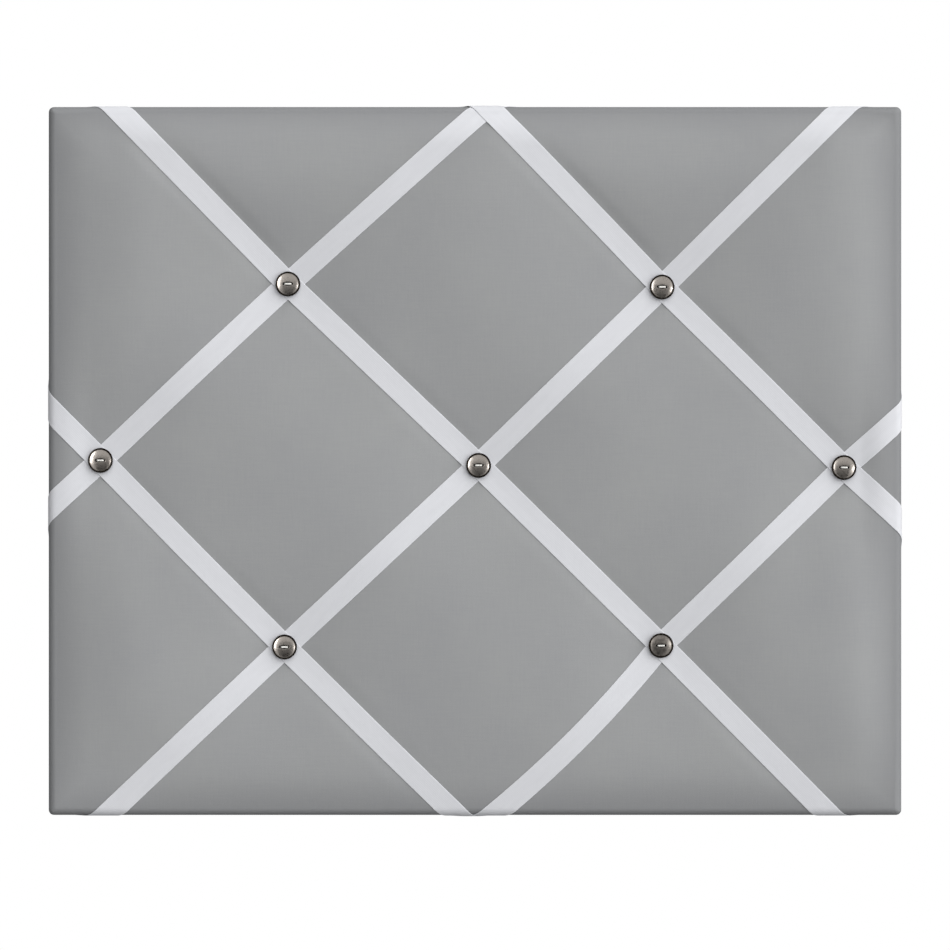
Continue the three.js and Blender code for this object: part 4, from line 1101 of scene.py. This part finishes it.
def carve_screw(across, up, height):
    """Depth of the cross recess at a place on the screw's head."""
    if height < 0.5:
        return np.zeros_like(across)
    arms = np.minimum(np.abs(across), np.abs(up)), np.maximum(np.abs(across), np.abs(up))
    share = 1 - smooth_step(RECESS_WIDTH, RECESS_WIDTH + 0.15, arms[0])
    return RECESS_DEPTH * share * (1 - smooth_step(RECESS_REACH - 0.35, RECESS_REACH, arms[1]))


def add_screw(hanger, material):
    """Round-headed screw of one hanger, with a cross recess."""
    points, faces = lathe(screw_profile(), 72, carve_screw)
    points = points + np.array([0, -SCREW_PLACE, SCREW_SEAT])
    piece = make_mesh("pan_screw_" + hanger, on_back(points, hanger), faces)
    settle(piece, material, nodes=["hanger_screw_" + hanger])


def finish_node(name, material):
    """Material for a CAD node that is carried as it is."""
    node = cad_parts[name]
    node.data.materials.clear()
    node.data.materials.append(material)


# Camera, light and floor

def add_camera():
    camera = bpy.data.objects.new("camera", bpy.data.cameras.new("camera"))
    camera.data.sensor_width = SENSOR_WIDTH
    camera.data.lens = SENSOR_WIDTH * CAMERA_DISTANCE / FRAME_WIDTH
    camera.location = (0, (OUTLINE_DEPTH - CAMERA_DISTANCE) * MM, CAMERA_HEIGHT * MM)
    camera.rotation_euler = (math.radians(90), 0, 0)
    bpy.context.collection.objects.link(camera)
    bpy.context.scene.camera = camera


# Stage, in metres: aim, strength and softness of the suns, place, size and power of the softboxes
AMBIENT = 0.28
SUNS = {
    "key": ((-0.61, 0.61, -0.508), 3.75, 110.0),
    "back_light": ((0.35, -0.9, -0.25), 1.4, 55.0),
}
SOFTBOXES = {
    "left_box": ((-1.5, -1.1, 0.5), (0.5, 1.7), 30.0),
    "right_box": ((1.6, -1.1, -0.2), (0.4, 0.55), 11.0),
}
CARD_PLACE = (0.0, -1.2, -1.55)
CARD_HALF = (0.95, 1.85)
CARD_TONES = 0.02, 0.42
CARD_FADE = -0.9, 0.35
FLOOR_HEIGHT = -0.62
FLOOR_HALF = 1.5


def aimed(name, lamp, place, aim):
    """A lamp in its place, turned to shine along aim."""
    holder = bpy.data.objects.new(name, lamp)
    holder.location = place
    holder.rotation_euler = Vector(aim).to_track_quat("-Z", "Y").to_euler()
    bpy.context.collection.objects.link(holder)
    return holder


def add_suns():
    """Broad even light from the upper right, and a weak light on the back that the front doesn't catch."""
    for name, (aim, strength, softness) in SUNS.items():
        lamp = bpy.data.lights.new(name, "SUN")
        lamp.energy = strength
        lamp.angle = math.radians(softness)
        aimed(name, lamp, -2 * Vector(aim), aim).visible_glossy = False


def add_softboxes():
    """Bright panels on both sides that only shiny metal mirrors."""
    for name, (place, size, power) in SOFTBOXES.items():
        lamp = bpy.data.lights.new(name, "AREA")
        lamp.shape = "RECTANGLE"
        lamp.size, lamp.size_y = size
        lamp.energy = power
        aimed(name, lamp, place, -Vector(place)).visible_diffuse = False


def panel(name, middle, across, up):
    """Flat rectangle from its middle and its two half sides, all in metres."""
    middle, across, up = (np.array(part) / MM for part in (middle, across, up))
    corners = [middle - across - up, middle - across + up, middle + across + up, middle + across - up]
    return make_mesh(name, corners, [(0, 1, 2, 3)])


def add_card():
    """Card in front of the board, darker towards its foot, that only shiny metal mirrors."""
    card = panel("mirrored_card", CARD_PLACE, (CARD_HALF[0], 0, 0), (0, 0, CARD_HALF[1]))
    material, tree = new_material("card_grey", Base_Color=(0, 0, 0, 1), Emission_Strength=1.0)
    height = add(tree, "SeparateXYZ", {0: place_coordinates(tree)}).outputs["Z"]
    tree.links.new(span(tree, height, *CARD_FADE, *CARD_TONES), shader_inputs(material)["Emission Color"])
    card.data.materials.append(material)
    card.visible_camera = card.visible_diffuse = card.visible_shadow = False


def add_world():
    """White background that metal mirrors too, and a softer light from all round."""
    world = bpy.data.worlds.new("studio")
    bpy.context.scene.world = world
    world.use_nodes = True
    tree = world.node_tree
    tree.nodes.clear()
    rays = add(tree, "LightPath").outputs
    seen = maths(tree, "MAXIMUM", rays["Is Camera Ray"], rays["Is Glossy Ray"])
    seen = maths(tree, "MAXIMUM", seen, rays["Is Transmission Ray"])
    light, white = (add(tree, "Background", {"Color": (1, 1, 1, 1), "Strength": strength}).outputs[0]
                    for strength in (AMBIENT, 1.0))
    mixed = add(tree, "MixShader", {0: seen, 1: light, 2: white}).outputs[0]
    add(tree, "OutputWorld", {"Surface": mixed})


def add_floor():
    """Plain pale floor below the board, which lights and mirrors in nothing."""
    floor = panel("floor", (0, 0, FLOOR_HEIGHT), (0, FLOOR_HALF, 0), (FLOOR_HALF, 0, 0))
    material, tree = new_material("pale_floor", Roughness=0.9)
    colour = tone(tree, speckle(tree, 6), *TONES["floor"])
    floor.data.materials.append(finished(material, colour))
    floor.visible_diffuse = floor.visible_glossy = False


def build():
    bpy.context.scene.view_settings.view_transform = "Standard"
    add_camera()
    add_world()
    add_suns()
    add_softboxes()
    add_card()
    add_floor()
    steel, ribbon, metal, thread = steel_material(), ribbon_material(), button_material(), thread_material()
    cover_points, size = add_cover(cloth_material())
    add_wadding(cover_points, size, wadding_material())
    for name in ROUTES:
        add_ribbon(name, ribbon)
    for name in BUTTONS:
        add_button(name, metal)
        add_thread(name, thread)
    for hanger in HANGERS:
        add_ring(hanger, steel)
        add_strap(hanger, steel)
        add_screw(hanger, steel)
    add_edge_staples(steel)
    finish_node("back_sheet", card_material())
    finish_node("backing_board", board_material())
    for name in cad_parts:
        if name.startswith("staple_"):
            finish_node(name, steel)


build()
